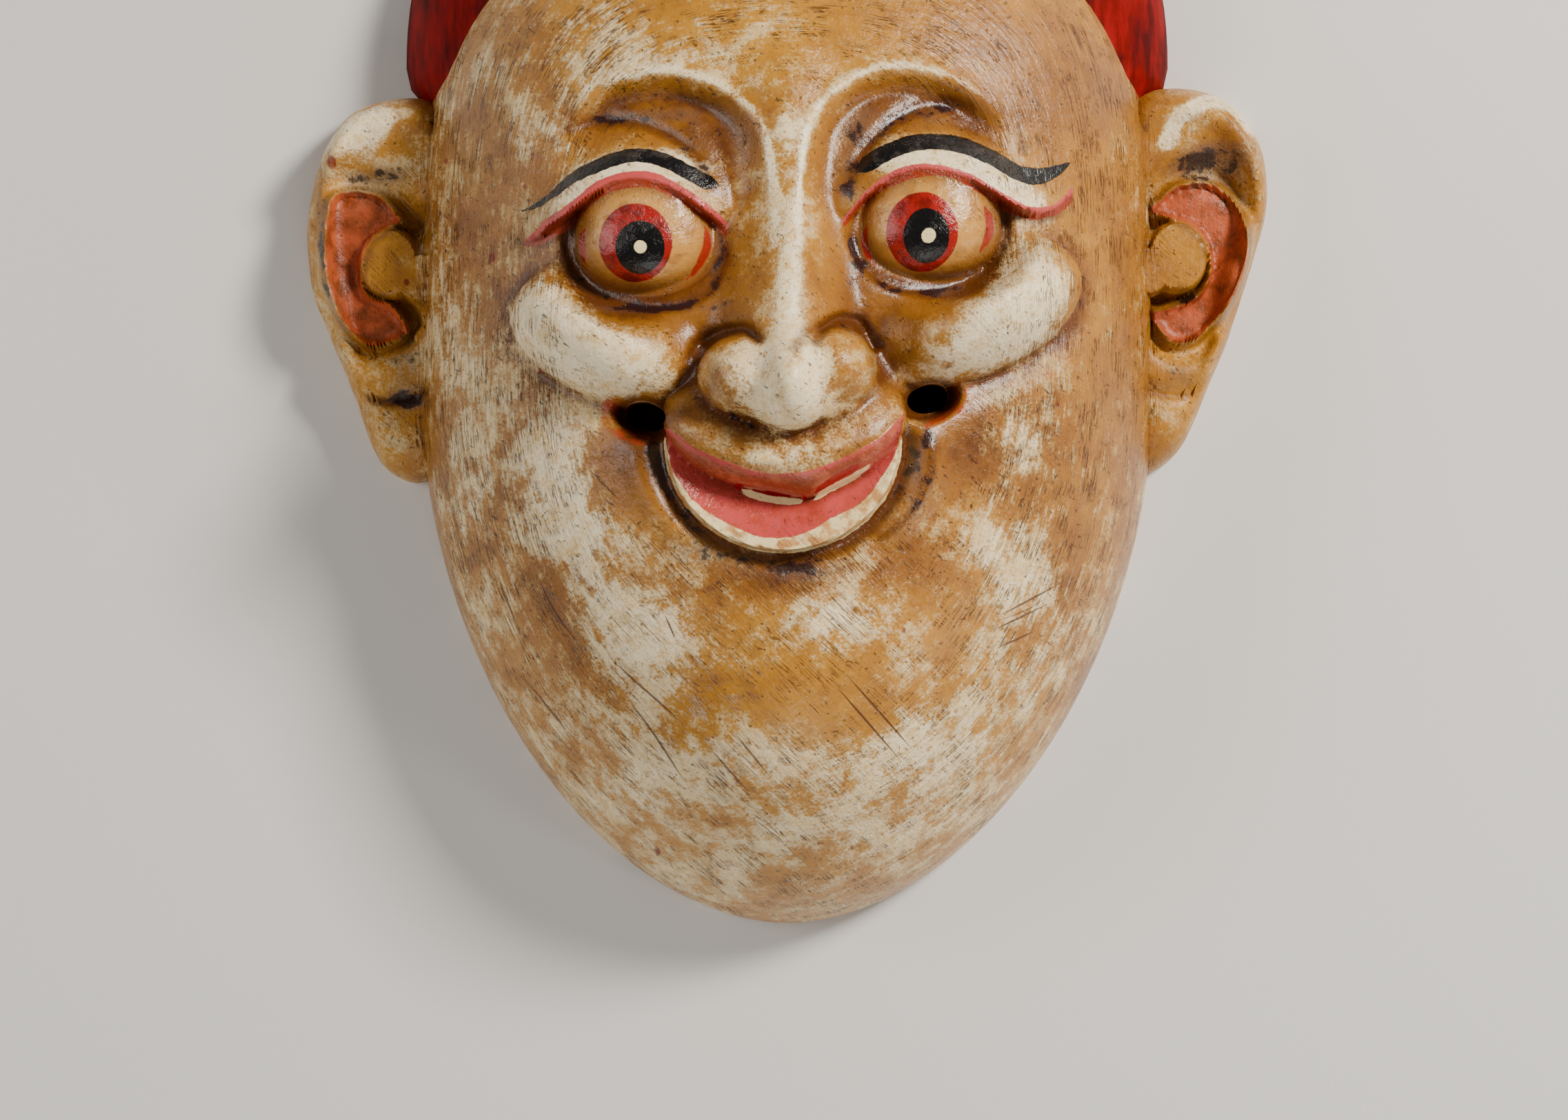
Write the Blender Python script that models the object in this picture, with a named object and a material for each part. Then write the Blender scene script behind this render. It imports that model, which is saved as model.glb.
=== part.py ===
"""A carved wooden mask of a grinning, bald man with a red cap of hair, hollow at the back.

The mask lies on its back: its rim is on z = 0, the face looks up along +Z, the top of the head
is towards +Y and +X is to the right of somebody looking at the face.
It is one block of wood: the face with its hollow, the hair and both ears are carved from it.
The carving is drawn in drawing units, which are millimetres on a face of the drawn size, and
follows the named sizes of the face in width, height and depth.
"""
import bmesh
import bpy
import numpy as np

for old in list(bpy.data.objects):
    bpy.data.objects.remove(old, do_unlink=True)

# Sizes of the face, in metres
FACE_WIDTH = 0.1884
FACE_HEIGHT = 0.2773
FACE_DEPTH = 0.080
# Wood left between the face and the hollow behind it, and at the rim
WALL = 0.009
# The red cap of hair: its width, how far it stands above the face's middle line, its depth
HAIR_WIDTH = 0.1966
HAIR_RISE = 0.1687
HAIR_DEPTH = 0.050
# One ear: from its top to the end of its lobe, and from the back to its front plane
EAR_HEIGHT = 0.099
EAR_DEPTH = 0.0245
# Openings at the corners of the mouth, through to the hollow
HOLE_LENGTH = 0.0105
HOLE_HEIGHT = 0.0068

# The face as it is drawn, in drawing units: its size, and the height of its middle line, the
# widest place, with the parts of its height above and below that line
DRAWN_WIDTH = 188.4
DRAWN_HEIGHT = 277.3
DRAWN_DEPTH = 80.0
DRAWN_EAR = 99.0
DRAWN_MIDDLE = -17.1
ABOVE = 142.8
BELOW = 134.5
# The point of the face from which its rings and spokes are laid out
POLE = (0.0, -8.0)

# Metres for one drawing unit in width, height and depth
UNIT = np.array([FACE_WIDTH / DRAWN_WIDTH, FACE_HEIGHT / DRAWN_HEIGHT, FACE_DEPTH / DRAWN_DEPTH])
# The middle line's place that puts the origin halfway between the chin and the top of the hair
MIDDLE = (BELOW * UNIT[1] - HAIR_RISE) / 2

# Counts of facets
FACE_SPOKES = 100
FACE_RINGS = 33
EAR_SPOKES = 36
EAR_RINGS = 13
HAIR_SPOKES = 40
HAIR_RINGS = 9
HOLLOW_SPOKES = 44
HOLLOW_RINGS = 10
HOLE_SIDES = 14


def ramp(t):
    """Goes smoothly from 0 to 1 while t does."""
    t = np.clip(t, 0.0, 1.0)
    return t * t * (3.0 - 2.0 * t)


def higher(a, b, soft):
    """The higher of two surfaces, with a fillet of the given softness between them."""
    h = np.clip(0.5 + 0.5 * (a - b) / soft, 0.0, 1.0)
    return b + (a - b) * h + soft * h * (1.0 - h)


def oval(x, y, centre, half, tilt=0.0):
    """The distance from the middle of an oval as a share of its half size, 1 on its edge."""
    c = np.cos(np.radians(tilt))
    s = np.sin(np.radians(tilt))
    dx = x - centre[0]
    dy = y - centre[1]
    return np.hypot((dx * c + dy * s) / half[0], (dy * c - dx * s) / half[1])


def ball(share):
    """Height of a ball of radius 1 at a share of its radius."""
    return np.sqrt(np.clip(1.0 - share**2, 0.0, 1.0))


def swell(z, share, level, rise, soft):
    """The surface with a rounded cushion standing out of it inside an oval."""
    return np.where(share < 1, higher(z, level + rise * ball(share), soft), z)


def dip(d, width):
    """A soft bump or groove of height 1 across a line."""
    return np.exp(-((d / width) ** 2))


def ends(along, first, last):
    """Fades a line out over the first and the last share of its length."""
    return ramp(along / first) * ramp((1.0 - along) / last)


def flowing(points, steps=4):
    """A smooth curve through a few points."""
    p = np.array(points, float)
    p = np.vstack([2 * p[0] - p[1], p, 2 * p[-1] - p[-2]])
    t = np.linspace(0, 1, steps, endpoint=False)[:, None]
    pieces = []
    for a, b, c, d in zip(p[:-3], p[1:-2], p[2:-1], p[3:]):
        bend = (2 * a - 5 * b + 4 * c - d) * t**2 + (3 * b - a - 3 * c + d) * t**3
        pieces.append(0.5 * (2 * b + (c - a) * t + bend))
    pieces.append(p[-2:-1])
    return np.vstack(pieces)


def beside(x, y, points):
    """Distance from a flowing line, plus to its left, and the share of its length reached."""
    line = flowing(points)
    lengths = np.hypot(*(line[1:] - line[:-1]).T)
    before = np.concatenate([[0.0], np.cumsum(lengths)])
    best = np.full(np.shape(x), 1e9)
    left = np.ones(np.shape(x))
    along = np.zeros(np.shape(x))
    for k, length in enumerate(lengths):
        ux, uy = (line[k + 1] - line[k]) / length
        dx = x - line[k, 0]
        dy = y - line[k, 1]
        t = np.clip(dx * ux + dy * uy, 0.0, length)
        d = np.hypot(dx - t * ux, dy - t * uy)
        near = d < best
        best = np.where(near, d, best)
        left = np.where(near, np.where(ux * dy - uy * dx >= 0, 1.0, -1.0), left)
        along = np.where(near, (before[k] + t) / before[-1], along)
    return best * left, along


def outline(angle, pole, middle, half, above, below, powers):
    """How far the edge of a face-like outline is from its pole in each direction."""
    near = np.zeros(len(angle))
    far = np.full(len(angle), 4.0 * (half + above + below))
    for _ in range(50):
        r = (near + far) / 2
        x = np.abs(pole[0] + r * np.cos(angle)) / half
        y = pole[1] + r * np.sin(angle) - middle
        up = x ** powers[0] + np.abs(y / above) ** powers[1]
        down = x ** powers[2] + np.abs(y / below) ** powers[3]
        inside = np.where(y > 0, up, down) < 1
        near = np.where(inside, r, near)
        far = np.where(inside, far, r)
    return (near + far) / 2


def face_outline(angle):
    return outline(angle, POLE, DRAWN_MIDDLE, DRAWN_WIDTH / 2, ABOVE, BELOW, (2.4, 4.4, 1.87, 1.85))


# The lines of the carving, in drawing units, -1 for the left side and 1 for the right side.
# The arc of each eye socket runs from the brow round to the side of the nose.
SOCKET = {
    -1: [(-58, 46), (-50.9, 52.3), (-44.3, 56.6), (-36.8, 58.3), (-28.5, 58.8), (-21.1, 57), (-15.2, 54.1),
         (-10.3, 50), (-7.2, 45.5), (-5.6, 39), (-4.5, 31), (-4.3, 22), (-5, 13), (-6.5, 4)],
    1: [(56, 47), (50, 51.5), (44.5, 54.6), (38.7, 57.8), (31.2, 59.6), (22.9, 59.5), (16.3, 57),
        (11.3, 53.3), (7.7, 48.8), (5.5, 43), (4.5, 36), (4, 28), (4.2, 18), (5.5, 9), (6.5, 4)],
}
# The fold in the skin above each upper lid
FOLD = {
    -1: [(-56, 44.5), (-50, 47.6), (-40, 48.3), (-30, 45.1), (-22.7, 39.3), (-18.5, 32.7), (-16.5, 28)],
    1: [(13.8, 26.9), (15, 32), (19.9, 42.1), (27.9, 49.3), (37, 52.3), (47.7, 50.9)],
}
# The edge of each upper lid, from the left to the right
LID = {
    -1: [(-63.6, 19), (-56.6, 22.5), (-50, 27), (-43.4, 31.7), (-35.7, 33.1), (-26.8, 30.2), (-14.9, 21.7)],
    1: [(13.5, 22.8), (19.6, 29.5), (27.8, 34.5), (34.5, 35.4), (44.4, 32.7), (54.4, 27.2), (59.3, 26),
        (64.3, 26.9), (70, 31.5)],
}
# The groove under each lower lid
UNDER = {
    -1: [(-54.1, 24.1), (-53.3, 17.1), (-50.4, 11.3), (-46.4, 7.2), (-41, 4.2), (-34.3, 2.7), (-27.7, 2.6),
         (-21.9, 4.4), (-17.7, 8.4), (-15.3, 13.8), (-14.6, 20.6)],
    1: [(14.6, 23.9), (16, 18), (18.3, 13), (22.1, 9.2), (27.9, 6.9), (32.9, 6.6), (39.5, 7.8),
        (45.3, 10.6), (49.5, 14.4), (52.3, 18.8), (53.1, 23.8), (51.2, 27.5)],
}
# The groove over each wing of the nose
OVER_WING = {
    -1: [(-23.3, -11.7), (-21.9, -8.1), (-19.7, -5.4), (-15.9, -3.6), (-12.6, -3), (-9.3, -3.3), (-5.6, -7.6)],
    1: [(5.8, -8.7), (8.2, -3.5), (10.3, -1.5), (12.8, -0.3), (15.3, -0.6), (17.7, -2), (21.3, -8.7)],
}
# The smile line beside the lower lip
SMILE = {
    -1: [(-36, -27), (-36.5, -35), (-33, -44), (-27, -51), (-20, -56)],
    1: [(33, -25), (34.5, -30), (34.5, -37), (31.5, -44), (26.8, -49.6), (20.4, -54)],
}
# Ovals: the middle, the half sizes and the turn in degrees
EYEBALL = {-1: ((-33.8, 18.2), (17.6, 12.6)), 1: ((34.2, 21.2), (17.6, 12.6))}
EYEBALL_UP = 24.0
LID_HALF = (27.0, 26.0)
EYE_RING = {-1: ((-34.2, 20.2), (19.9, 17.6)), 1: ((34, 23.2), (19.5, 16.6))}
CHEEK = {-1: ((-42.4, -5.8), (26.6, 14.6, 20.5), -24), 1: ((46.3, 0.6), (27.7, 14.4, 20.0), 28)}
MOUTH_CORNER = {-1: ((-34.3, -23.2), -10), 1: ((34, -18.9), 15)}
WING = {-1: ((-11.0, -14.2), (10.6, 10.0)), 1: ((11.6, -12.2), (10.0, 9.8))}
NOSE_TIP = ((0.9, -15.2), (10.6, 13.0))
NOSE_BLEND = 4.0
UPPER_LIP = ((-0.6, -23.2), (29.3, 18.4))
LOWER_LIP = ((-1.1, -29.5), (27.9, 26.2))
# The nose from below its tip up to the forehead: height on the drawing, how far its ridge
# stands out, how round the ridge is and how steep its sides are
RIDGE_AT = [-60, -42, -30, -22, -17, -10, 0, 15, 30, 45, 56, 66, 80, 100]
RIDGE_UP = [-40, 50, 84, 97, 101, 98.5, 93, 87, 81.5, 78, 75.5, 70, 55, -40]
RIDGE_ROUND = [9, 9, 9, 9, 8, 7, 5.5, 4.2, 3.4, 5, 9, 12, 14, 14]
RIDGE_STEEP = [1.2, 1.2, 1.2, 1.2, 1.2, 1.22, 1.15, 1.02, 0.9, 0.8, 0.8, 0.8, 0.8, 0.8]


def plain_face(x, y, share):
    """The domed face without its features: full at the forehead and the chin."""
    z = DRAWN_DEPTH * np.clip(1 - share**2.4, 0, 1) ** 0.526
    inland = ramp((1 - share) / 0.25)
    z = z + 5 * inland * np.exp(-((x / 55) ** 2 + ((y - 85) / 32) ** 2))
    return z + 9 * inland * np.exp(-((x / 44) ** 2 + ((y + 95) / 36) ** 2))


def eye(x, y, z, side, fade):
    """Carves one eye: the socket, the fold, the ball, the lids and the groove below."""
    d, _ = beside(x, y, SOCKET[side])
    inside = side * d
    hollow = ramp((inside + 1) / 6.5) * np.exp(-np.clip(inside - 4.5, 0, None) / 14)
    near = ramp((45 - np.abs(d)) / 15) * fade * ramp((57 - np.abs(x)) / 15) * ramp((y + 2) / 18)
    z = z + near * (0.9 * dip(inside + 0.8, 2.2) - 5.0 * hollow)
    d, along = beside(x, y, FOLD[side])
    z = z - 1.5 * fade * dip(d, 1.8) * ends(along, 0.3, 0.3)
    z = nose_ridge(x, y, z)
    middle, half = EYEBALL[side]
    ring = oval(x, y, *EYE_RING[side])
    z = z - 3.0 * fade * ramp((1.12 - ring) / 0.3)
    q = oval(x, y, middle, (half[0], np.where(y > middle[1], EYEBALL_UP, half[1])))
    below = swell(z, q, 67.5, 13.5, 0.8)
    d, along = beside(x, y, LID[side])
    above = swell(z, oval(x, y, middle, LID_HALF), 60.0, 20.5, 8.0)
    above = above + 2.4 * dip(d, 9.0) * ends(along, 0.15, 0.15)
    z = below + (above - below) * ramp((d + 0.5) / 1.0) * ramp((34 - np.abs(d)) / 4) * ends(along, 0.04, 0.04)
    d, along = beside(x, y, UNDER[side])
    return z - 1.3 * dip(d, 1.3) * ends(along, 0.1, 0.1)


def nose_ridge(x, y, z):
    """Raises the long ridge of the nose out of the face."""
    top = np.interp(y, RIDGE_AT, RIDGE_UP)
    soft = np.interp(y, RIDGE_AT, RIDGE_ROUND)
    ridge = top - np.interp(y, RIDGE_AT, RIDGE_STEEP) * (np.hypot(x, soft) - soft)
    return higher(z, ridge, np.interp(y, [10, 50], [2.5, 6.0]))


def cheek(x, y, z, side):
    """Raises one round cheek, sharp below and soft above, cut away along the eye."""
    middle, (wide, low, high), turn = CHEEK[side]
    c = np.cos(np.radians(turn))
    s = np.sin(np.radians(turn))
    across = (x - middle[0]) * c + (y - middle[1]) * s
    up = (y - middle[1]) * c - (x - middle[0]) * s
    q = np.hypot(across / wide, up / np.where(up > 0, high, low))
    clear = ramp((oval(x, y, *EYE_RING[side]) - 1.0) * 18 / 8)
    z = z - 2.0 * dip((q - 1) * 20, 6) * ramp((middle[1] + 8 - y) / 12)
    soft = 0.8 + 8.0 * ramp((up / high + 0.2) / 0.8) + 3.0 * ramp((-side * across / wide - 0.5) / 0.4)
    full = higher(z, 60 + 28.5 * ball(q) - 0.03 * np.clip(up, 0, None) ** 2, soft)
    return np.where(q < 1, z + (full - z) * clear, z)


def nose_end(x, y, z):
    """Raises the tip of the nose and its wings as one rounded mass."""
    parts = [(oval(x, y, *NOSE_TIP), 26.6), (oval(x, y, *WING[-1]), 17.5), (oval(x, y, *WING[1]), 17.0)]
    weights = [np.exp(-NOSE_BLEND * q) for q, _ in parts]
    total = sum(weights)
    rise = sum(w * r for w, (_, r) in zip(weights, parts)) / total
    q = np.clip(-np.log(total) / NOSE_BLEND, 0, None)
    return swell(z, q, 80.5, rise, 1.2 + 6.0 * dip(x - 0.6, 5.0) * ramp((y + 16) / 8))


def mouth(x, y, z):
    """Carves the mouth: the groove around it, the bowl of the lower lip and the upper lip."""
    q = oval(x, y, *LOWER_LIP)
    low = ramp((-24 - y) / 5)
    out = (q - 1) * 26
    z = z - 2.6 * low * dip(out - 1.6, 1.9)
    lip = 84.5 - 5.5 * (x / 27) ** 2 - 10.5 * np.clip(1 - q**2, 0, 1)
    z = z + (lip - z) * ramp(0.5 - out / 0.9) * low
    for side, rise in ((-1, 1.2), (1, 1.9)):
        d, along = beside(x, y, SMILE[side])
        z = z + rise * dip(d, 3.0) * ends(along, 0.2, 0.3)
    keel = 1.7 * dip(x - 5.3, 6.0) * ramp((-30 - y) / 10)
    q = oval(x, y + keel, *UPPER_LIP)
    skin = 77 + 14.0 * np.sqrt(np.clip(1 - q**3, 0, 1)) - 5.0 * ramp((y + 37 - 0.012 * x**2) / 15)
    return np.where(q < 1, higher(z, skin, 0.8), z)


def carved_face(x, y, share):
    """The whole front of the face, as its height above the rim."""
    fade = ramp((1 - share) / 0.22)
    z = plain_face(x, y, share)
    corner = np.array([HOLE_LENGTH / UNIT[0], HOLE_HEIGHT / UNIT[1]]) / 2 + 2.6
    for side in (-1, 1):
        middle, turn = MOUTH_CORNER[side]
        z = z - 12 * ramp((1.12 - oval(x, y, middle, corner, turn)) / 0.6)
    for side in (-1, 1):
        z = eye(x, y, z, side, fade)
    for side in (-1, 1):
        z = cheek(x, y, z, side)
    z = nose_end(x, y, mouth(x, y, z))
    for side in (-1, 1):
        d, along = beside(x, y, OVER_WING[side])
        z = z - 2.6 * dip(d, 1.5) * ends(along, 0.25, 0.07)
    return z


# One ear, in its own drawing units from the middle of its round tab, outwards and upwards
EAR_AT = {-1: (-101.5, 17.1), 1: (99.5, 18.8)}
EAR_OUTLINE = {
    -1: [(-20, 36), (-14, 42), (-5.1, 43.8), (5, 42.2), (11.5, 38.6), (17.4, 30), (21, 18.5), (22.1, 7.5),
         (20.9, -5.6), (17.5, -15), (12.4, -27), (8.6, -37), (5.6, -45.6), (1.5, -52), (-6.5, -55.2),
         (-14, -50), (-18, -36), (-19, -10), (-19.5, 15)],
    1: [(-19, 36), (-12, 42.6), (-1.2, 44.6), (7.5, 43.6), (14, 40.6), (19.6, 34.5), (22.9, 27), (24, 16),
        (22.4, 6), (18.5, -7.3), (13.9, -20.6), (9.2, -31.8), (5.6, -40.6), (2.3, -47.4), (-2, -52),
        (-8, -54.4), (-14, -48), (-17, -36), (-18, -10), (-18.5, 15)],
}


def ear_outline(angle, side):
    """How far the edge of an ear is from the middle of its tab in each direction."""
    p = np.array(EAR_OUTLINE[side] + EAR_OUTLINE[side][:1], float)
    line = flowing(p, 6)
    turn = np.arctan2(line[:, 1], line[:, 0])
    return np.interp(angle, turn, np.hypot(*line.T), period=2 * np.pi)


# The sunk plate around the tab, and the tab, which runs on inwards to the face
EAR_PLATE = ((2.0, -1.0), (14.0, 20.5))
EAR_TAB = (((-0.3, 0.3), (7.9, 9.4)), ((-9.0, -3.5), (7.0, 6.5)))


def carved_ear(u, v, share):
    """The front of an ear: the rolled rim, the groove inside it, the sunk plate and its tab."""
    deep = np.where(share < 0.05, 30.0, (1 - share) * np.hypot(u, v) / np.clip(share, 0.05, None))
    z = 18.5 * np.clip(1 - share**8, 0, 1) ** 0.5
    rim = ramp((v + 38) / 25) * ramp((u + 16) / 8)
    z = z + 6.0 * rim * dip(deep - 4.6, 3.2 + 2.4 * ramp((v + 5) / 35))
    inside = (1 - oval(u, v, *EAR_PLATE)) * 15
    z = z - 5.5 * rim * dip(inside + 3.2, 2.2 + 2.2 * ramp((v - 8) / 14)) * ramp((v + 26) / 12)
    z = z - 3.0 * ramp(inside / 2.0)
    z = z - 2.4 * dip(v + 34.5 - 0.03 * (u + 1) ** 2, 2.0) * ramp((u + 14) / 6) * ramp((8 - u) / 4)
    z = np.maximum(z, 11 * np.clip(1 - share**8, 0, 1) ** 0.5)
    tab = np.minimum(oval(u, v, *EAR_TAB[0]), oval(u, v, *EAR_TAB[1]))
    return higher(z, 20.5 - 30 * np.clip(tab - 0.9, 0, None), 0.8)


def block(outline_at, height_at, pole, spokes, rings, even, soft):
    """A closed block: a carved front over a flat back, laid out in spokes and rings.

    The rings share the length of every spoke over the carving, so that steep places get
    facets too. The heights are averaged over a circle of the given radius, which rounds off
    what is finer than the facets.
    """
    turn = np.linspace(-np.pi, np.pi, 721)
    edge = outline_at(turn)
    around = [(0.0, 0.0)] + [(soft * np.cos(k), soft * np.sin(k)) for k in np.arange(6) * np.pi / 3]

    def surface(x, y, places):
        total = 0.0
        for dx, dy in places:
            px = x + dx - pole[0]
            py = y + dy - pole[1]
            share = np.hypot(px, py) / np.interp(np.arctan2(py, px), turn, edge)
            total = total + height_at(x + dx, y + dy, np.clip(share, 0, 1))
        return total / len(places)

    angle = np.arange(spokes) * 2 * np.pi / spokes
    reach = outline_at(angle)
    fine = np.linspace(0, 1, 201)
    x = pole[0] + np.outer(reach * np.cos(angle), fine)
    y = pole[1] + np.outer(reach * np.sin(angle), fine)
    z = surface(x, y, around[:1])
    run = np.hypot(np.hypot(np.diff(x), np.diff(y)), even * np.diff(z))
    run = np.hstack([np.zeros((spokes, 1)), np.cumsum(run, axis=1)])
    level = np.linspace(0, 1, rings + 1)[1:]
    share = np.stack([np.interp(level, r / r[-1], fine) for r in run])
    for _ in range(4):
        share = (np.roll(share, 1, axis=0) + 2 * share + np.roll(share, -1, axis=0)) / 4
    share[:, -1] = 1.0
    x = pole[0] + (reach * np.cos(angle))[:, None] * share
    y = pole[1] + (reach * np.sin(angle))[:, None] * share
    z = surface(x, y, around)
    z[:, -1] = 0.0
    middle = surface(np.array([pole[0]]), np.array([pole[1]]), around)
    points = [(pole[0], pole[1], middle[0]), (pole[0], pole[1], 0.0)]
    points += list(zip(x.ravel(), y.ravel(), z.ravel()))
    faces = []
    for s in range(spokes):
        here = 2 + s * rings
        there = 2 + (s + 1) % spokes * rings
        faces.append((0, here, there))
        faces.append((1, there + rings - 1, here + rings - 1))
        for r in range(rings - 1):
            faces.append((here + r, here + r + 1, there + r + 1, there + r))
    return np.array(points, float), faces


def solid(name, points, faces):
    """Makes a Blender object from points in metres."""
    mesh = bpy.data.meshes.new(name)
    mesh.from_pydata([tuple(p) for p in points], [], faces)
    made = bpy.data.objects.new(name, mesh)
    bpy.context.scene.collection.objects.link(made)
    work = bmesh.new()
    work.from_mesh(mesh)
    bmesh.ops.triangulate(work, faces=work.faces[:])
    bmesh.ops.recalc_face_normals(work, faces=work.faces[:])
    work.to_mesh(mesh)
    work.free()
    return made


def cut_or_join(target, tool, how):
    """Joins another block to the mask, or cuts it out, and hides it."""
    step = target.modifiers.new(tool.name, "BOOLEAN")
    step.operation = how
    step.solver = "EXACT"
    step.object = tool
    tool.hide_render = True
    tool.display_type = "WIRE"


def on_face(points):
    """Takes points of the drawing to their places in metres."""
    drawn = points - np.array([0.0, DRAWN_MIDDLE, 0.0])
    return drawn * UNIT + np.array([0.0, MIDDLE, 0.0])


# The face
points, faces = block(face_outline, carved_face, POLE, FACE_SPOKES, FACE_RINGS, 0.6, 1.5)
mask = solid("mask", on_face(points), faces)

# The hair, a lower dome behind the forehead, in metres
hair_line = MIDDLE + 0.6 * ABOVE * UNIT[1]
hair_above = HAIR_RISE + MIDDLE - hair_line
hair_below = 0.3 * hair_above


def hair_outline(angle):
    return outline(angle, (0.0, hair_line), hair_line, HAIR_WIDTH / 2, hair_above, hair_below,
                   (2.3, 2.3, 2.3, 2.3))


def hair_height(x, y, share):
    return HAIR_DEPTH * np.clip(1 - share**2.4, 0, 1) ** 0.5


points, faces = block(hair_outline, hair_height, (0.0, hair_line), HAIR_SPOKES, HAIR_RINGS, 1.0, 0.0)
cut_or_join(mask, solid("hair", points, faces), "UNION")

# The ears, each drawn outwards and upwards from the middle of its tab
ear_unit = np.array([EAR_HEIGHT, EAR_HEIGHT, EAR_DEPTH]) / np.array([DRAWN_EAR, DRAWN_EAR, 24.5])
for side, name in ((-1, "ear_left"), (1, "ear_right")):
    points, faces = block(lambda angle: ear_outline(angle, side), carved_ear, (0.0, 0.0),
                          EAR_SPOKES, EAR_RINGS, 0.5, 0.8)
    middle = on_face(np.array([EAR_AT[side][0], EAR_AT[side][1], 0.0]))
    points = points * ear_unit * np.array([side, 1.0, 1.0]) + middle
    cut_or_join(mask, solid(name, points, faces), "UNION")

# The hollow: the plain face again, smaller by the wall at the rim and all over
inner_half = FACE_WIDTH / 2 - WALL
inner_above = ABOVE * UNIT[1] - WALL
inner_below = BELOW * UNIT[1] - WALL
hollow_pole = (0.0, float(on_face(np.array([0.0, POLE[1], 0.0]))[1]))


def hollow_outline(angle):
    return outline(angle, hollow_pole, MIDDLE, inner_half, inner_above, inner_below, (2.4, 4.4, 1.87, 1.85))


def hollow_height(x, y, share):
    drawn_y = (y - MIDDLE) / UNIT[1] + DRAWN_MIDDLE
    return plain_face(x / UNIT[0], drawn_y, share) * UNIT[2] * (1 - 1.7 * WALL / FACE_DEPTH)


points, faces = block(hollow_outline, hollow_height, hollow_pole, HOLLOW_SPOKES, HOLLOW_RINGS, 1.0, 0.0)
# its flat back goes below the rim, so that the cut is clean
rim = [2 + s * HOLLOW_RINGS + HOLLOW_RINGS - 1 for s in range(HOLLOW_SPOKES)]
points[rim, 2] = -WALL
points[1, 2] = -WALL
cut_or_join(mask, solid("hollow", points, faces), "DIFFERENCE")

# The two openings at the corners of the mouth
for side, name in ((-1, "mouth_left"), (1, "mouth_right")):
    centre, turn = MOUTH_CORNER[side]
    around = np.arange(HOLE_SIDES) * 2 * np.pi / HOLE_SIDES
    u = HOLE_LENGTH / 2 * np.cos(around)
    v = HOLE_HEIGHT / 2 * np.sin(around)
    c = np.cos(np.radians(turn))
    s = np.sin(np.radians(turn))
    place = on_face(np.array([centre[0], centre[1], 0.0]))
    ring = np.column_stack([u * c - v * s + place[0], u * s + v * c + place[1]])
    low = np.column_stack([ring, np.full(HOLE_SIDES, 0.4 * FACE_DEPTH)])
    high = np.column_stack([ring, np.full(HOLE_SIDES, 1.3 * FACE_DEPTH)])
    n = HOLE_SIDES
    faces = [tuple(range(n))[::-1], tuple(range(n, 2 * n))]
    faces += [(k, (k + 1) % n, n + (k + 1) % n, n + k) for k in range(n)]
    cut_or_join(mask, solid(name, np.vstack([low, high]), faces), "DIFFERENCE")

# Painted wood
paint = bpy.data.materials.new("painted_wood")
paint.use_nodes = True
surface = paint.node_tree.nodes["Principled BSDF"]
surface.inputs["Base Color"].default_value = (0.52, 0.34, 0.17, 1.0)
surface.inputs["Roughness"].default_value = 0.42
mask.data.materials.append(paint)
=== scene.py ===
"""The carved wooden mask of the photograph, lying face up on a pale floor."""

import bmesh
import bpy
import numpy as np
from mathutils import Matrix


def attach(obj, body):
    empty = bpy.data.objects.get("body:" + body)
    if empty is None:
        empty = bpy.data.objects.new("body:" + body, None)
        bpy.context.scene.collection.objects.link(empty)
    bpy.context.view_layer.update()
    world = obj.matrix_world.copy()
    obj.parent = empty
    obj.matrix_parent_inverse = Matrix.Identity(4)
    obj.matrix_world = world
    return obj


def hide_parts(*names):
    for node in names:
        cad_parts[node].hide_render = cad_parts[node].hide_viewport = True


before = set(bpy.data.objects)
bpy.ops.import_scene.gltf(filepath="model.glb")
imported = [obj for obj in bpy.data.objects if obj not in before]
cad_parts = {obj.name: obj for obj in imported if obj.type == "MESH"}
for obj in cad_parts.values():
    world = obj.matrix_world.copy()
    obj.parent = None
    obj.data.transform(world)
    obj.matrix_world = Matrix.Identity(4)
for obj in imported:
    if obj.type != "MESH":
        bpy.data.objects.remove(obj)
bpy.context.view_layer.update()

# The view, the floor and the light
# The photograph looks straight at the face from about a metre away, so the camera hangs over the
# mask and looks down. The light is a large soft window at the upper right with a weaker one at
# the left. The floor is a plain pale sheet.
PHOTO_WIDTH = 2274
FOCAL_PIXELS = 5890
EYE_POINT = (-0.0008, -0.0579, 1.05)

lens = bpy.data.cameras.new("photo_view")
lens.sensor_width = 36.0
lens.lens = FOCAL_PIXELS / PHOTO_WIDTH * 36.0
lens.clip_start = 0.05
view = bpy.data.objects.new("photo_view", lens)
view.location = EYE_POINT
bpy.context.scene.collection.objects.link(view)
bpy.context.scene.camera = view


def soft_light(name, place, aim, size, power, colour):
    """A square studio lamp at a place, turned to face a point."""
    lamp = bpy.data.lights.new(name, "AREA")
    lamp.size = size
    lamp.energy = power
    lamp.color = colour
    made = bpy.data.objects.new(name, lamp)
    made.location = place
    away = np.array(place) - np.array(aim)
    flat = np.hypot(away[0], away[1])
    made.rotation_euler = (np.arctan2(flat, away[2]), 0.0, np.arctan2(away[1], away[0]) + np.pi / 2)
    bpy.context.scene.collection.objects.link(made)


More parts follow.
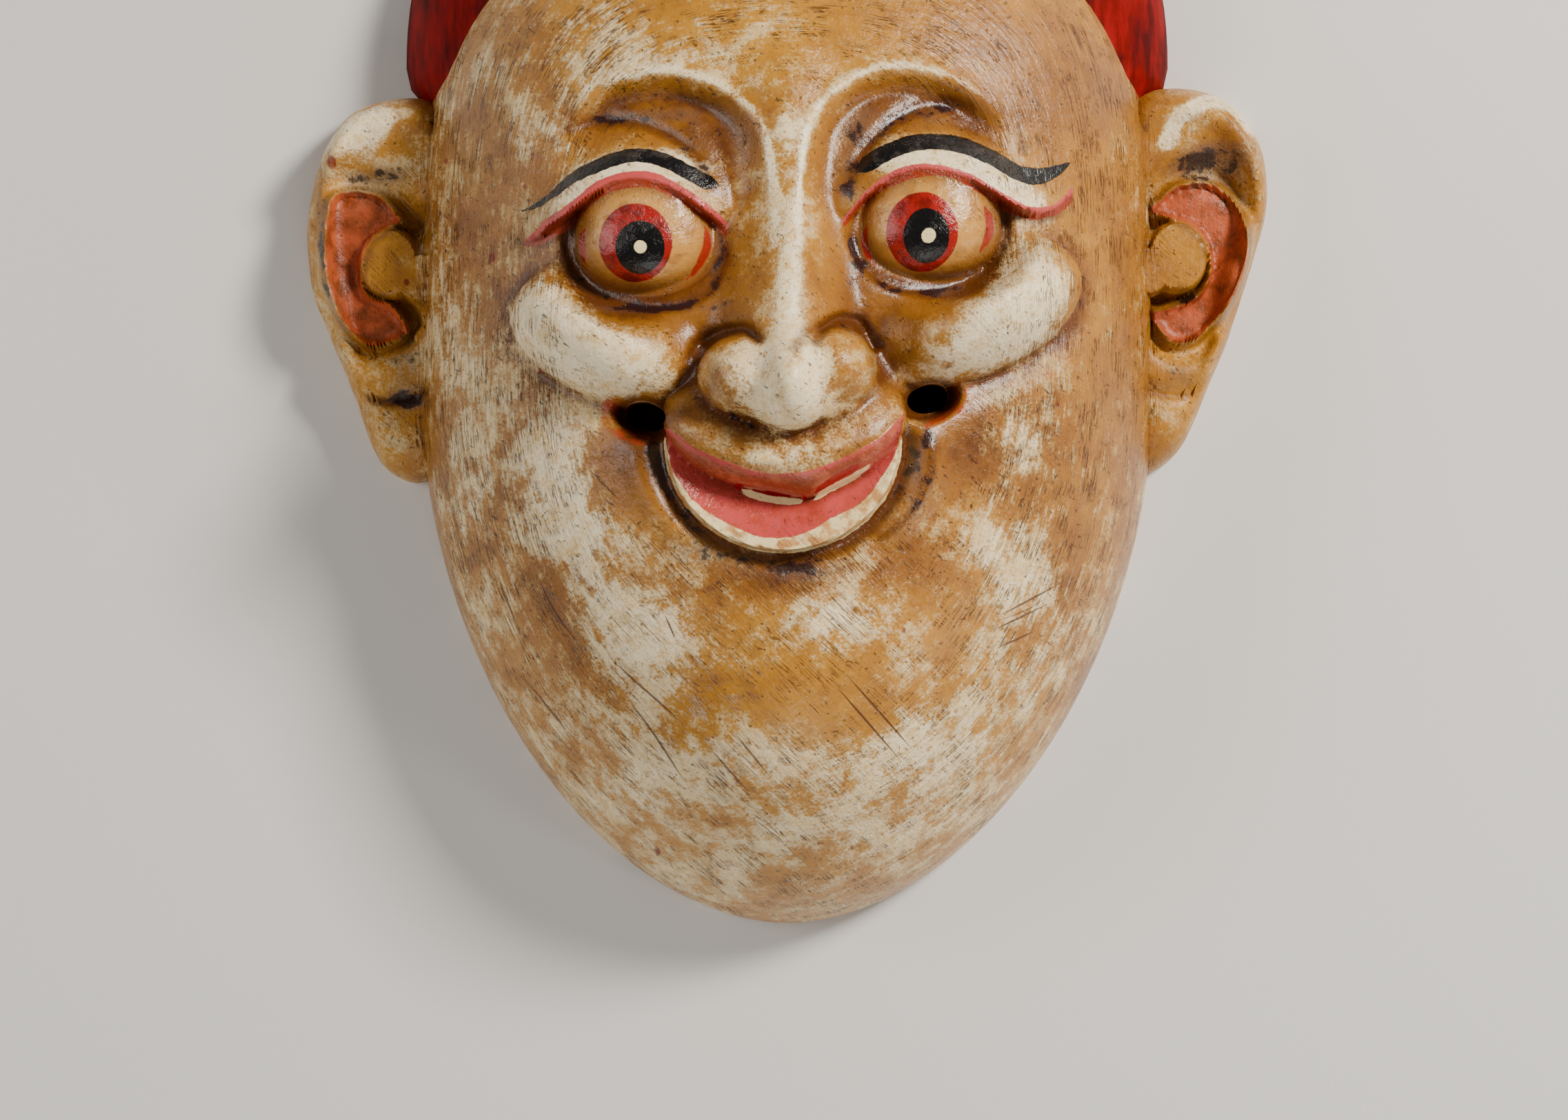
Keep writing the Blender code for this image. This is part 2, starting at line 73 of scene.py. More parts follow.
soft_light("window", (0.85, 0.6, 0.95), (0.0, 0.0, 0.05), 0.32, 31.0, (1.0, 0.93, 0.84))
soft_light("right_low", (0.9, -0.5, 0.48), (0.0, 0.0, 0.05), 0.15, 1.7, (1.0, 0.95, 0.88))
soft_light("left_fill", (-1.1, 0.1, 0.8), (0.0, 0.0, 0.05), 0.7, 7.0, (1.0, 0.96, 0.9))
soft_light("low_fill", (0.1, -1.2, 0.7), (0.0, 0.0, 0.05), 0.8, 5.0, (1.0, 0.97, 0.92))

sky = bpy.data.worlds.new("studio")
sky.use_nodes = True
sky.node_tree.nodes["Background"].inputs["Color"].default_value = (0.95, 0.93, 0.91, 1.0)
sky.node_tree.nodes["Background"].inputs["Strength"].default_value = 0.14
bpy.context.scene.world = sky

floor_mesh = bpy.data.meshes.new("floor")
floor_mesh.from_pydata([(-3, -3, 0), (3, -3, 0), (3, 3, 0), (-3, 3, 0)], [], [(0, 1, 2, 3)])
floor = bpy.data.objects.new("floor", floor_mesh)
bpy.context.scene.collection.objects.link(floor)
floor_paint = bpy.data.materials.new("pale_floor")
floor_paint.use_nodes = True
floor_paint.node_tree.nodes["Principled BSDF"].inputs["Base Color"].default_value = (0.72, 0.715, 0.70, 1.0)
floor_paint.node_tree.nodes["Principled BSDF"].inputs["Roughness"].default_value = 0.85
floor_mesh.materials.append(floor_paint)

# The face
# The front of the mask, from the hairline to the chin, is carved from one block of light wood
# about 190 mm wide. Its features stand out of a plain dome or are cut into it with gouge and knife.
# The hair, the ears, the hollow and the paint further down belong to the same one piece.
FACE_WIDTH = 0.1884
FACE_HEIGHT = 0.2773
FACE_DEPTH = 0.080
WALL = 0.009
# From the face's middle line up to the top of the hair
HAIR_RISE = 0.1687
# The two small holes that are cut through at the corners of the mouth
HOLE_LENGTH = 0.0105
HOLE_HEIGHT = 0.0068
# The face as it is drawn, in drawing units, millimetres on a face of this size: the middle line
# is at the widest place, with these parts of the height above and below it
DRAWN_WIDTH = 188.4
DRAWN_HEIGHT = 277.3
DRAWN_DEPTH = 80.0
DRAWN_MIDDLE = -17.1
ABOVE = 142.8
BELOW = 134.5
# The point of the face from which its rings and spokes are laid out
POLE = (0.0, -8.0)

# Metres for one drawing unit in width, height and depth
UNIT = np.array([FACE_WIDTH / DRAWN_WIDTH, FACE_HEIGHT / DRAWN_HEIGHT, FACE_DEPTH / DRAWN_DEPTH])
# The middle line's place that puts the origin halfway between the chin and the top of the hair
MIDDLE = (BELOW * UNIT[1] - HAIR_RISE) / 2


def ramp(t):
    """Goes smoothly from 0 to 1 while t does: t squared times 3 less twice t."""
    t = np.clip(t, 0.0, 1.0)
    return t * t * (3.0 - 2.0 * t)


def higher(a, b, soft):
    """The higher of two surfaces, with a fillet of the given softness between them.

    With h the share of a, going straight from 0 to 1 while their difference goes from minus soft
    to plus soft, it is the mix of both by h, plus soft times h times 1 less h.
    """
    h = np.clip(0.5 + 0.5 * (a - b) / soft, 0.0, 1.0)
    return b + (a - b) * h + soft * h * (1.0 - h)


def turned(x, y, degrees):
    """A place measured along and across a direction that is turned left by so many degrees."""
    c = np.cos(np.radians(degrees))
    s = np.sin(np.radians(degrees))
    return x * c + y * s, y * c - x * s


def oval(x, y, centre, half, tilt=0.0):
    """The distance from the middle of an oval as a share of its half size, 1 on its edge."""
    along, across = turned(x - centre[0], y - centre[1], tilt)
    return np.hypot(along / half[0], across / half[1])


def ball(share):
    """Height of a ball of radius 1 at a share of its radius: root of 1 less its square."""
    return np.sqrt(np.clip(1.0 - share**2, 0.0, 1.0))


def swell(z, share, level, rise, soft):
    """The surface, or where it is higher inside an oval, level plus rise times a ball."""
    return np.where(share < 1, higher(z, level + rise * ball(share), soft), z)


def dip(d, width):
    """A soft bump or groove of height 1 across a line: a bell curve of d over width."""
    return np.exp(-((d / width) ** 2))


def ends(along, first, last):
    """Fades a line out over the first and the last share of its length, one ramp at each."""
    return ramp(along / first) * ramp((1.0 - along) / last)


def flowing(points, steps=4):
    """A Catmull-Rom curve through a few points: a cubic from each to the next, with the
    slope at a point half the step from the one before it to the one after it."""
    p = np.array(points, float)
    p = np.vstack([2 * p[0] - p[1], p, 2 * p[-1] - p[-2]])
    t = np.linspace(0, 1, steps, endpoint=False)[:, None]
    pieces = []
    for a, b, c, d in zip(p[:-3], p[1:-2], p[2:-1], p[3:]):
        bend = (2 * a - 5 * b + 4 * c - d) * t**2 + (3 * b - a - 3 * c + d) * t**3
        pieces.append(0.5 * (2 * b + (c - a) * t + bend))
    pieces.append(p[-2:-1])
    return np.vstack(pieces)


def beside(x, y, points):
    """Distance from a flowing line, plus to its left, and the share of its length reached.

    For each straight step of the line the nearest place on it is found, and the nearest step of
    all counts.
    """
    line = flowing(points)
    lengths = np.hypot(*(line[1:] - line[:-1]).T)
    before = np.concatenate([[0.0], np.cumsum(lengths)])
    best = np.full(np.shape(x), 1e9)
    left = np.ones(np.shape(x))
    along = np.zeros(np.shape(x))
    for k, length in enumerate(lengths):
        ux, uy = (line[k + 1] - line[k]) / length
        dx = x - line[k, 0]
        dy = y - line[k, 1]
        t = np.clip(dx * ux + dy * uy, 0.0, length)
        d = np.hypot(dx - t * ux, dy - t * uy)
        near = d < best
        best = np.where(near, d, best)
        left = np.where(near, np.where(ux * dy - uy * dx >= 0, 1.0, -1.0), left)
        along = np.where(near, (before[k] + t) / before[-1], along)
    return best * left, along


def furrow(x, y, points, width, first, last):
    """A groove of depth 1 along a flowing line: a dip across it, faded out at its ends."""
    d, along = beside(x, y, points)
    return dip(d, width) * ends(along, first, last)


def outline(angle, pole, middle, half, above, below, powers):
    """How far the edge of a face-like outline is from its pole in each direction.

    On the edge the powers of x over half and of height over above, or over below, add up to 1,
    each half with its own two powers. The place is found by halving an interval.
    """
    near = np.zeros(len(angle))
    far = np.full(len(angle), 4.0 * (half + above + below))
    for _ in range(50):
        r = (near + far) / 2
        x = np.abs(pole[0] + r * np.cos(angle)) / half
        y = pole[1] + r * np.sin(angle) - middle
        up = x ** powers[0] + np.abs(y / above) ** powers[1]
        down = x ** powers[2] + np.abs(y / below) ** powers[3]
        inside = np.where(y > 0, up, down) < 1
        near = np.where(inside, r, near)
        far = np.where(inside, far, r)
    return (near + far) / 2


# The powers of the face's outline, two above its widest place and two below, and the
# directions at which an outline is worked out before it is read in between
FACE_POWERS = (2.4, 4.4, 1.87, 1.85)
ALL_ROUND = np.linspace(-np.pi, np.pi, 1441)


def face_outline(angle):
    """The edge of the face, nearly square at the forehead and pointed at the chin."""
    return outline(angle, POLE, DRAWN_MIDDLE, DRAWN_WIDTH / 2, ABOVE, BELOW, FACE_POWERS)


# The lines of the carving, in drawing units, -1 for the left side and 1 for the right side.
# The arc of each eye socket runs from the brow round to the side of the nose.
SOCKET = {
    -1: [(-58, 46), (-50.9, 52.3), (-44.3, 56.6), (-36.8, 58.3), (-28.5, 58.8), (-21.1, 57), (-15.2, 54.1),
         (-10.3, 50), (-7.2, 45.5), (-5.6, 39), (-4.5, 31), (-4.3, 22), (-5, 13), (-6.5, 4)],
    1: [(56, 47), (50, 51.5), (44.5, 54.6), (38.7, 57.8), (31.2, 59.6), (22.9, 59.5), (16.3, 57),
        (11.3, 53.3), (7.7, 48.8), (5.5, 43), (4.5, 36), (4, 28), (4.2, 18), (5.5, 9), (6.5, 4)],
}
# The fold in the skin above each upper lid
FOLD = {
    -1: [(-56, 44.5), (-50, 47.6), (-40, 48.3), (-30, 45.1), (-22.7, 39.3), (-18.5, 32.7), (-16.5, 28)],
    1: [(13.8, 26.9), (15, 32), (19.9, 42.1), (27.9, 49.3), (37, 52.3), (47.7, 50.9)],
}
# The edge of each upper lid, from the left to the right
LID = {
    -1: [(-63.6, 19), (-56.6, 22.5), (-50, 27), (-43.4, 31.7), (-35.7, 33.1), (-26.8, 30.2), (-14.9, 21.7)],
    1: [(13.5, 22.8), (19.6, 29.5), (27.8, 34.5), (34.5, 35.4), (44.4, 32.7), (54.4, 27.2), (59.3, 26),
        (64.3, 26.9), (70, 31.5)],
}
# The groove under each lower lid
UNDER = {
    -1: [(-54.1, 24.1), (-53.3, 17.1), (-50.4, 11.3), (-46.4, 7.2), (-41, 4.2), (-34.3, 2.7), (-27.7, 2.6),
         (-21.9, 4.4), (-17.7, 8.4), (-15.3, 13.8), (-14.6, 20.6)],
    1: [(14.6, 23.9), (16, 18), (18.3, 13), (22.1, 9.2), (27.9, 6.9), (32.9, 6.6), (39.5, 7.8),
        (45.3, 10.6), (49.5, 14.4), (52.3, 18.8), (53.1, 23.8), (51.2, 27.5)],
}
# The groove over each wing of the nose
OVER_WING = {
    -1: [(-23.3, -11.7), (-21.9, -8.1), (-19.7, -5.4), (-15.9, -3.6), (-12.6, -3), (-9.3, -3.3),
         (-5.6, -7.6)],
    1: [(5.8, -8.7), (8.2, -3.5), (10.3, -1.5), (12.8, -0.3), (15.3, -0.6), (17.7, -2), (21.3, -8.7)],
}
# The smile line beside the lower lip
SMILE = {
    -1: [(-36, -27), (-36.5, -35), (-33, -44), (-27, -51), (-20, -56)],
    1: [(33, -25), (34.5, -30), (34.5, -37), (31.5, -44), (26.8, -49.6), (20.4, -54)],
}
# Ovals: the middle, the half sizes and the turn in degrees
EYEBALL = {-1: ((-33.8, 18.2), (17.6, 12.6)), 1: ((34.2, 21.2), (17.6, 12.6))}
EYEBALL_UP = 24.0
LID_HALF = (27.0, 26.0)
EYE_RING = {-1: ((-34.2, 20.2), (19.9, 17.6)), 1: ((34, 23.2), (19.5, 16.6))}
CHEEK = {-1: ((-42.4, -5.8), (26.6, 14.6, 20.5), -24), 1: ((46.3, 0.6), (27.7, 14.4, 20.0), 28)}
MOUTH_CORNER = {-1: ((-34.3, -23.2), -10), 1: ((34, -18.9), 15)}
WING = {-1: ((-11.0, -14.2), (10.6, 10.0)), 1: ((11.6, -12.2), (10.0, 9.8))}
NOSE_TIP = ((0.9, -15.2), (10.6, 13.0))
NOSE_BLEND = 4.0
UPPER_LIP = ((-0.6, -23.2), (29.3, 18.4))
LOWER_LIP = ((-1.1, -29.5), (27.9, 26.2))
# Drawing units for a share of 1 on the lower lip's oval
LIP_REACH = 26
# The cushions: the level above the back that each one starts from, and its rise above that
BALL_CUSHION = (67.5, 13.5)
LID_CUSHION = (60.0, 20.5)
CHEEK_CUSHION = (60.0, 28.5)
LIP_CUSHION = (77.0, 14.0)
NOSE_LEVEL = 80.5
TIP_RISE = 25.4
WING_RISE = {-1: 17.5, 1: 17.0}
# The bowl of the lower lip: the level of its edge and how deep its middle is
BOWL_EDGE = 84.5
BOWL_DEEP = 10.5
# The funnel around each hole of the mouth: how deep it is and how far it reaches over the hole
FUNNEL_DEEP = 12
FUNNEL_WIDER = 2.6
# The nose from below its tip up to the forehead: height on the drawing, how far its ridge
# stands out, how round the ridge is and how steep its sides are
RIDGE_AT = [-60, -42, -30, -22, -17, -10, 0, 15, 30, 45, 56, 66, 80, 100]
RIDGE_UP = [-40, 50, 84, 97, 101, 98.5, 93, 87, 81.5, 78, 75.5, 70, 55, -40]
RIDGE_ROUND = [9, 9, 9, 9, 8, 7, 5.5, 4.2, 3.4, 5, 9, 12, 14, 14]
RIDGE_STEEP = [1.2, 1.2, 1.2, 1.2, 1.2, 1.22, 1.15, 1.02, 0.9, 0.8, 0.8, 0.8, 0.8, 0.8]


def plain_face(x, y, share):
    """The domed face without its features: full at the forehead and the chin.

    Depth times (1 less share to the power 2.4) to the power 0.526, plus a bell of 5 on the
    forehead and one of 9 on the chin.
    """
    z = DRAWN_DEPTH * np.clip(1 - share**2.4, 0, 1) ** 0.526
    inland = ramp((1 - share) / 0.25)
    z = z + 5 * inland * np.exp(-((x / 55) ** 2 + ((y - 85) / 32) ** 2))
    return z + 9 * inland * np.exp(-((x / 44) ** 2 + ((y + 95) / 36) ** 2))


def eye(x, y, z, side, fade):
    """Carves one eye: the socket, the fold, the ball, the lids and the groove below.

    The face less a hollow that is deepest just inside the socket's arc, less a groove along the
    fold, and less a ring around the eye; the ball stands in it as an oval cushion, and above the
    lid's edge a larger and softer cushion takes its place. A thin groove runs below.
    """
    d, _ = beside(x, y, SOCKET[side])
    inside = side * d
    hollow = ramp((inside + 1) / 6.5) * np.exp(-np.clip(inside - 4.5, 0, None) / 14)
    near = ramp((45 - np.abs(d)) / 15) * fade * ramp((57 - np.abs(x)) / 15) * ramp((y + 2) / 18)
    z = z + near * (0.9 * dip(inside + 0.8, 2.2) - 5.0 * hollow)
    z = z - 1.5 * fade * furrow(x, y, FOLD[side], 1.8, 0.3, 0.3)
    z = nose_ridge(x, y, z)
    middle, half = EYEBALL[side]
    ring = oval(x, y, *EYE_RING[side])
    z = z - 3.0 * fade * ramp((1.12 - ring) / 0.3)
    q = oval(x, y, middle, (half[0], np.where(y > middle[1], EYEBALL_UP, half[1])))
    below = swell(z, q, *BALL_CUSHION, 0.8)
    d, along = beside(x, y, LID[side])
    above = swell(z, oval(x, y, middle, LID_HALF), *LID_CUSHION, 8.0)
    above = above + 2.4 * dip(d, 9.0) * ends(along, 0.15, 0.15)
    z = below + ((above - below) * ramp((d + 0.5) / 1.0) * ramp((34 - np.abs(d)) / 4)
                 * ends(along, 0.04, 0.04))
    return z - 1.3 * furrow(x, y, UNDER[side], 1.3, 0.1, 0.1)


def nose_ridge(x, y, z):
    """Raises the long ridge of the nose out of the face.

    The ridge is its top at each height less its steepness times a rounded distance from the
    middle, and the higher of it and the face counts.
    """
    top = np.interp(y, RIDGE_AT, RIDGE_UP)
    soft = np.interp(y, RIDGE_AT, RIDGE_ROUND)
    ridge = top - np.interp(y, RIDGE_AT, RIDGE_STEEP) * (np.hypot(x, soft) - soft)
    return higher(z, ridge, np.interp(y, [10, 50], [2.5, 6.0]))


def cheek(x, y, z, side):
    """Raises one round cheek, sharp below and soft above, cut away along the eye.

    Its level plus its rise times a ball over an oval that is higher above its middle than below,
    less a little with the square of the height, and a soft dent around its lower edge.
    """
    level, rise = CHEEK_CUSHION
    middle, (wide, low, high), turn = CHEEK[side]
    across, up = turned(x - middle[0], y - middle[1], turn)
    q = np.hypot(across / wide, up / np.where(up > 0, high, low))
    clear = ramp((oval(x, y, *EYE_RING[side]) - 1.0) * 18 / 8)
    z = z - 2.0 * dip((q - 1) * 20, 6) * ramp((middle[1] + 8 - y) / 12)
    soft = 0.8 + 8.0 * ramp((up / high + 0.2) / 0.8) + 3.0 * ramp((-side * across / wide - 0.5) / 0.4)
    full = higher(z, level + rise * ball(q) - 0.03 * np.clip(up, 0, None) ** 2, soft)
    return np.where(q < 1, z + (full - z) * clear, z)


def nose_end(x, y, z):
    """Raises the tip of the nose and its wings as one rounded mass.

    The three ovals count with weights that fall off as a power of each one's distance; the mass
    is a cushion whose rise is their weighted mean and whose edge is where the weights add to it.
    """
    parts = [(oval(x, y, *NOSE_TIP), TIP_RISE)]
    parts += [(oval(x, y, *WING[side]), WING_RISE[side]) for side in (-1, 1)]
    weights = [np.exp(-NOSE_BLEND * q) for q, _ in parts]
    total = sum(weights)
    rise = sum(w * r for w, (_, r) in zip(weights, parts)) / total
    q = np.clip(-np.log(total) / NOSE_BLEND, 0, None)
    return swell(z, q, NOSE_LEVEL, rise, 1.2 + 6.0 * dip(x - 0.6, 5.0) * ramp((y + 16) / 8))


def mouth(x, y, z):
    """Carves the mouth: the groove around it, the bowl of the lower lip and the upper lip.

    The lower lip is a bowl, the level of its edge less a square of x, less its depth times 1
    less the square of the oval. The upper lip is a cushion of power 3 that falls by 5 towards
    its lower edge.
    """
    q = oval(x, y, *LOWER_LIP)
    low = ramp((-24 - y) / 5)
    out = (q - 1) * LIP_REACH
    z = z - 2.6 * low * dip(out - 1.6, 1.9)
    lip = BOWL_EDGE - 5.5 * (x / 27) ** 2 - BOWL_DEEP * np.clip(1 - q**2, 0, 1)
    z = z + (lip - z) * ramp(0.5 - out / 0.9) * low
    for side, rise in ((-1, 1.2), (1, 1.9)):
        z = z + rise * furrow(x, y, SMILE[side], 3.0, 0.2, 0.3)
    keel = 1.7 * dip(x - 5.3, 6.0) * ramp((-30 - y) / 10)
    q = oval(x, y + keel, *UPPER_LIP)
    level, rise = LIP_CUSHION
    skin = level + rise * np.sqrt(np.clip(1 - q**3, 0, 1)) - 5.0 * ramp((y + 37 - 0.012 * x**2) / 15)
    return np.where(q < 1, higher(z, skin, 0.8), z)


def carved_face(x, y, share):
    """The whole front of the face, as its height above the rim: the plain face, less a funnel
    at each mouth corner, with the eyes, cheeks, nose and mouth worked into it in this order."""
    fade = ramp((1 - share) / 0.22)
    z = plain_face(x, y, share)
    corner = np.array([HOLE_LENGTH / UNIT[0], HOLE_HEIGHT / UNIT[1]]) / 2 + FUNNEL_WIDER
    for side in (-1, 1):
        middle, turn = MOUTH_CORNER[side]
        z = z - FUNNEL_DEEP * ramp((1.12 - oval(x, y, middle, corner, turn)) / 0.6)
    for side in (-1, 1):
        z = eye(x, y, z, side, fade)
    for side in (-1, 1):
        z = cheek(x, y, z, side)
    z = nose_end(x, y, mouth(x, y, z))
    for side in (-1, 1):
        z = z - 2.6 * furrow(x, y, OVER_WING[side], 1.5, 0.25, 0.07)
    return z


def carved_grid(outline_at, height_at, pole, spokes, rings, even):
    """A closed block with a carved front and a flat back, in spokes and rings about a pole.

    A point lies in its spoke's direction at a share of the way to the edge, and its height is
    the carving's. The shares divide the carving's length along each spoke into equal steps, and
    are then evened out between neighbouring spokes.
    """
    edge = outline_at(ALL_ROUND)

    def surface(x, y):
        px = x - pole[0]
        py = y - pole[1]
        share = np.hypot(px, py) / np.interp(np.arctan2(py, px), ALL_ROUND, edge)
        return height_at(x, y, np.clip(share, 0, 1))

    angle = np.arange(spokes) * 2 * np.pi / spokes
    reach = outline_at(angle)
    fine = np.linspace(0, 1, 241)
    x = pole[0] + np.outer(reach * np.cos(angle), fine)
    y = pole[1] + np.outer(reach * np.sin(angle), fine)
    z = surface(x, y)
    run = np.hypot(np.hypot(np.diff(x), np.diff(y)), even * np.diff(z))
    run = np.hstack([np.zeros((spokes, 1)), np.cumsum(run, axis=1)])
    level = np.linspace(0, 1, rings + 1)[1:]
    share = np.stack([np.interp(level, r / r[-1], fine) for r in run])
    for _ in range(10):
        share = (np.roll(share, 1, axis=0) + 2 * share + np.roll(share, -1, axis=0)) / 4
    share[:, -1] = 1.0
    x = pole[0] + (reach * np.cos(angle))[:, None] * share
    y = pole[1] + (reach * np.sin(angle))[:, None] * share
    z = surface(x, y)
    z[:, -1] = 0.0
    top = surface(np.array([pole[0]]), np.array([pole[1]]))[0]
    points = np.vstack([[pole[0], pole[1], top], [pole[0], pole[1], 0.0],
                        np.column_stack([x.ravel(), y.ravel(), z.ravel()])])
    here = 2 + np.arange(spokes)[:, None] * rings + np.arange(rings)
    there = np.roll(here, -1, axis=0)
    quads = np.stack([here[:, :-1], here[:, 1:], there[:, 1:], there[:, :-1]], axis=-1).reshape(-1, 4)
    front = np.column_stack([np.zeros(spokes, int), here[:, 0], there[:, 0]])
    back = np.column_stack([np.ones(spokes, int), there[:, -1], here[:, -1]])
    return points, quads.tolist() + front.tolist() + back.tolist()


FINISHES = ("face_paint", "hair_paint", "ear_paint", "bare_wood")


def wooden_block(name, points, faces, finish):
    """Makes a closed mesh object from points in metres, in one of the four finishes."""
    mesh = bpy.data.meshes.new(name)
    mesh.from_pydata(points.tolist(), [], faces)
    for slot_name in FINISHES:
        mesh.materials.append(bpy.data.materials.get(slot_name) or bpy.data.materials.new(slot_name))
    mesh.polygons.foreach_set("material_index", np.full(len(mesh.polygons), FINISHES.index(finish)))
    work = bmesh.new()
    work.from_mesh(mesh)
    bmesh.ops.recalc_face_normals(work, faces=work.faces[:])
    work.to_mesh(mesh)
    work.free()
    made = bpy.data.objects.new(name, mesh)
    bpy.context.scene.collection.objects.link(made)
    return made


def on_face(points):
    """Takes points of the drawing to their places in metres."""
    drawn = points - np.array([0.0, DRAWN_MIDDLE, 0.0])
    return drawn * UNIT + np.array([0.0, MIDDLE, 0.0])


FACE_SPOKES = 440
FACE_RINGS = 156
points, faces = carved_grid(face_outline, carved_face, POLE, FACE_SPOKES, FACE_RINGS, 0.6)
mask = wooden_block("mask_block", on_face(points), faces, "face_paint")
# What is joined to the face or cut out of it further down
tools = []

# The hair
# The red cap of hair is a lower dome behind the forehead, left standing in the same block. It
# starts level with the tops of the ears and rises to the highest edge of the mask.
HAIR_WIDTH = 0.1966
HAIR_DEPTH = 0.050
hair_line = MIDDLE + 0.6 * ABOVE * UNIT[1]
hair_above = HAIR_RISE + MIDDLE - hair_line
hair_below = 0.3 * hair_above


def hair_outline(angle):
    """The edge of the hair: an oval a little squarer than an ellipse, with all powers 2.3."""
    return outline(angle, (0.0, hair_line), hair_line, HAIR_WIDTH / 2, hair_above, hair_below, (2.3,) * 4)


def hair_height(x, y, share):
    """A dome: its depth times the root of 1 less the share to the power 2.4."""
    return HAIR_DEPTH * np.clip(1 - share**2.4, 0, 1) ** 0.5


HAIR_SPOKES = 120
HAIR_RINGS = 36
points, faces = carved_grid(hair_outline, hair_height, (0.0, hair_line), HAIR_SPOKES, HAIR_RINGS, 1.0)
tools.append((wooden_block("hair_block", points, faces, "hair_paint"), "UNION"))

# The ears
# Both ears stand out flat beside the face, part of the same block, flush with its back. Each has
# a rolled rim, a sunk plate and a flat-topped tab. The left and the right one differ, as carved.
EAR_HEIGHT = 0.099
EAR_DEPTH = 0.0245
DRAWN_EAR = 99.0
DRAWN_EAR_DEPTH = 24.5
# How thick the ear is inside its rim, at least at its edge, and over its tab, and how high the
# roll of the rim stands above the slab
SLAB = 18.5
THINNEST = 11
TAB = 20.5
ROLL = 6.0
# One ear, in its own drawing units from the middle of its round tab, outwards and upwards
EAR_AT = {-1: (-101.5, 17.1), 1: (99.5, 18.8)}
EAR_OUTLINE = {
    -1: [(-20, 36), (-14, 42), (-5.1, 43.8), (5, 42.2), (11.5, 38.6), (17.4, 30), (21, 18.5), (22.1, 7.5),
         (20.9, -5.6), (17.5, -15), (12.4, -27), (8.6, -37), (5.6, -45.6), (1.5, -52), (-6.5, -55.2),
         (-14, -50), (-18, -36), (-19, -10), (-19.5, 15)],
    1: [(-19, 36), (-12, 42.6), (-1.2, 44.6), (7.5, 43.6), (14, 40.6), (19.6, 34.5), (22.9, 27), (24, 16),
        (22.4, 6), (18.5, -7.3), (13.9, -20.6), (9.2, -31.8), (5.6, -40.6), (2.3, -47.4), (-2, -52),
        (-8, -54.4), (-14, -48), (-17, -36), (-18, -10), (-18.5, 15)],
}


def ear_outline(angle, side):
    """How far the edge of an ear is from the middle of its tab in each direction: the length
    to the curve through its points, straight between them."""
    p = np.array(EAR_OUTLINE[side] + EAR_OUTLINE[side][:1], float)
    line = flowing(p, 6)
    turn = np.arctan2(line[:, 1], line[:, 0])
    return np.interp(angle, turn, np.hypot(*line.T), period=2 * np.pi)


PLATE_OUTER = {
    -1: [(-6, 9), (-3, 11.6), (0, 15.5), (3.5, 17.8), (7.9, 18.7), (11.4, 18.3), (14.1, 16.6), (15, 11.6),
         (15.3, 6.3), (15.3, 1.1), (14.6, -4.2), (13.2, -9.5), (11.4, -13.9), (8.8, -17.4), (6.2, -19.7),
         (3.5, -20.6), (0.9, -20.1), (-3, -18.3)],
    1: [(-7, 13), (-4.2, 15.1), (-1.2, 17.8), (2.3, 19), (6.7, 19.2), (11.1, 17.2), (14.6, 13.4),
        (16.4, 8.1), (16.9, 2.8), (16.4, -2.5), (14.6, -7.7), (12, -12.1), (8.4, -16.5), (4.9, -20.1),
        (1.4, -21.5), (-2.1, -20.9), (-5, -17.5)],
}
PLATE_INNER = {
    -1: [(-6, 11.4), (-3, 10.7), (0, 9.3), (3, 7.2), (5.3, 3.7), (6.5, 0.2), (6.7, -3.3), (5.8, -6.9),
         (3.5, -8.6), (0.9, -9.4), (-1.8, -11.3), (-4, -14.5)],
    1: [(-6, 11.2), (-1.2, 9.9), (3.2, 8.1), (6.7, 4.6), (8.1, -0.7), (7.6, -5.1), (5.8, -8.6),
        (2.3, -11.3), (-3, -13), (-6, -13.6)],
}


def plate(u, v, side):
    """How far a place is inside the ear's sunk plate: between its outer and inner line."""
    outer, _ = beside(u, v, PLATE_OUTER[side])
    inner, _ = beside(u, v, PLATE_INNER[side])
    return np.minimum(-outer, inner)


def carved_ear(u, v, share, side):
    """The front of an ear.

    A slab with a rounded edge, plus a roll along the rim, less the groove inside the roll, less
    the sunk plate with its thin raised edge, plus the flat-topped tab.
    """
    deep = np.where(share < 0.05, 30.0, (1 - share) * np.hypot(u, v) / np.clip(share, 0.05, None))
    z = SLAB * np.clip(1 - share**8, 0, 1) ** 0.5
    rim = ramp((v + 38) / 25) * ramp((u + 16) / 8)
    z = z + ROLL * rim * dip(deep - 4.6, 3.2 + 2.4 * ramp((v + 5) / 35))
    inside = plate(u, v, side)
    z = z - 5.5 * rim * dip(inside + 3.2, 2.2 + 2.2 * ramp((v - 8) / 14)) * ramp((v + 26) / 12)
    z = z - 3.5 * dip(inside + 2.6, 2.2) * ramp((-v - 4) / 10) * ramp((u + 10) / 6)
    z = z - 2.6 * ramp(inside / 1.2) + 1.2 * dip(inside + 0.2, 0.8)
    z = z - 2.4 * dip(v + 34.5 - 0.03 * (u + 1) ** 2, 1.6) * ramp((u + 14) / 6) * ramp((8 - u) / 4)
    z = np.maximum(z, THINNEST * np.clip(1 - share**8, 0, 1) ** 0.5)
    tab = np.minimum(oval(u, v, (-0.3, 0.3), (7.9, 9.4)), oval(u, v, (-9.0, -3.5), (7.0, 6.5)))
    return higher(z, TAB - 45 * np.clip(tab - 0.9, 0, None), 0.8)


EAR_SPOKES = 150
EAR_RINGS = 44
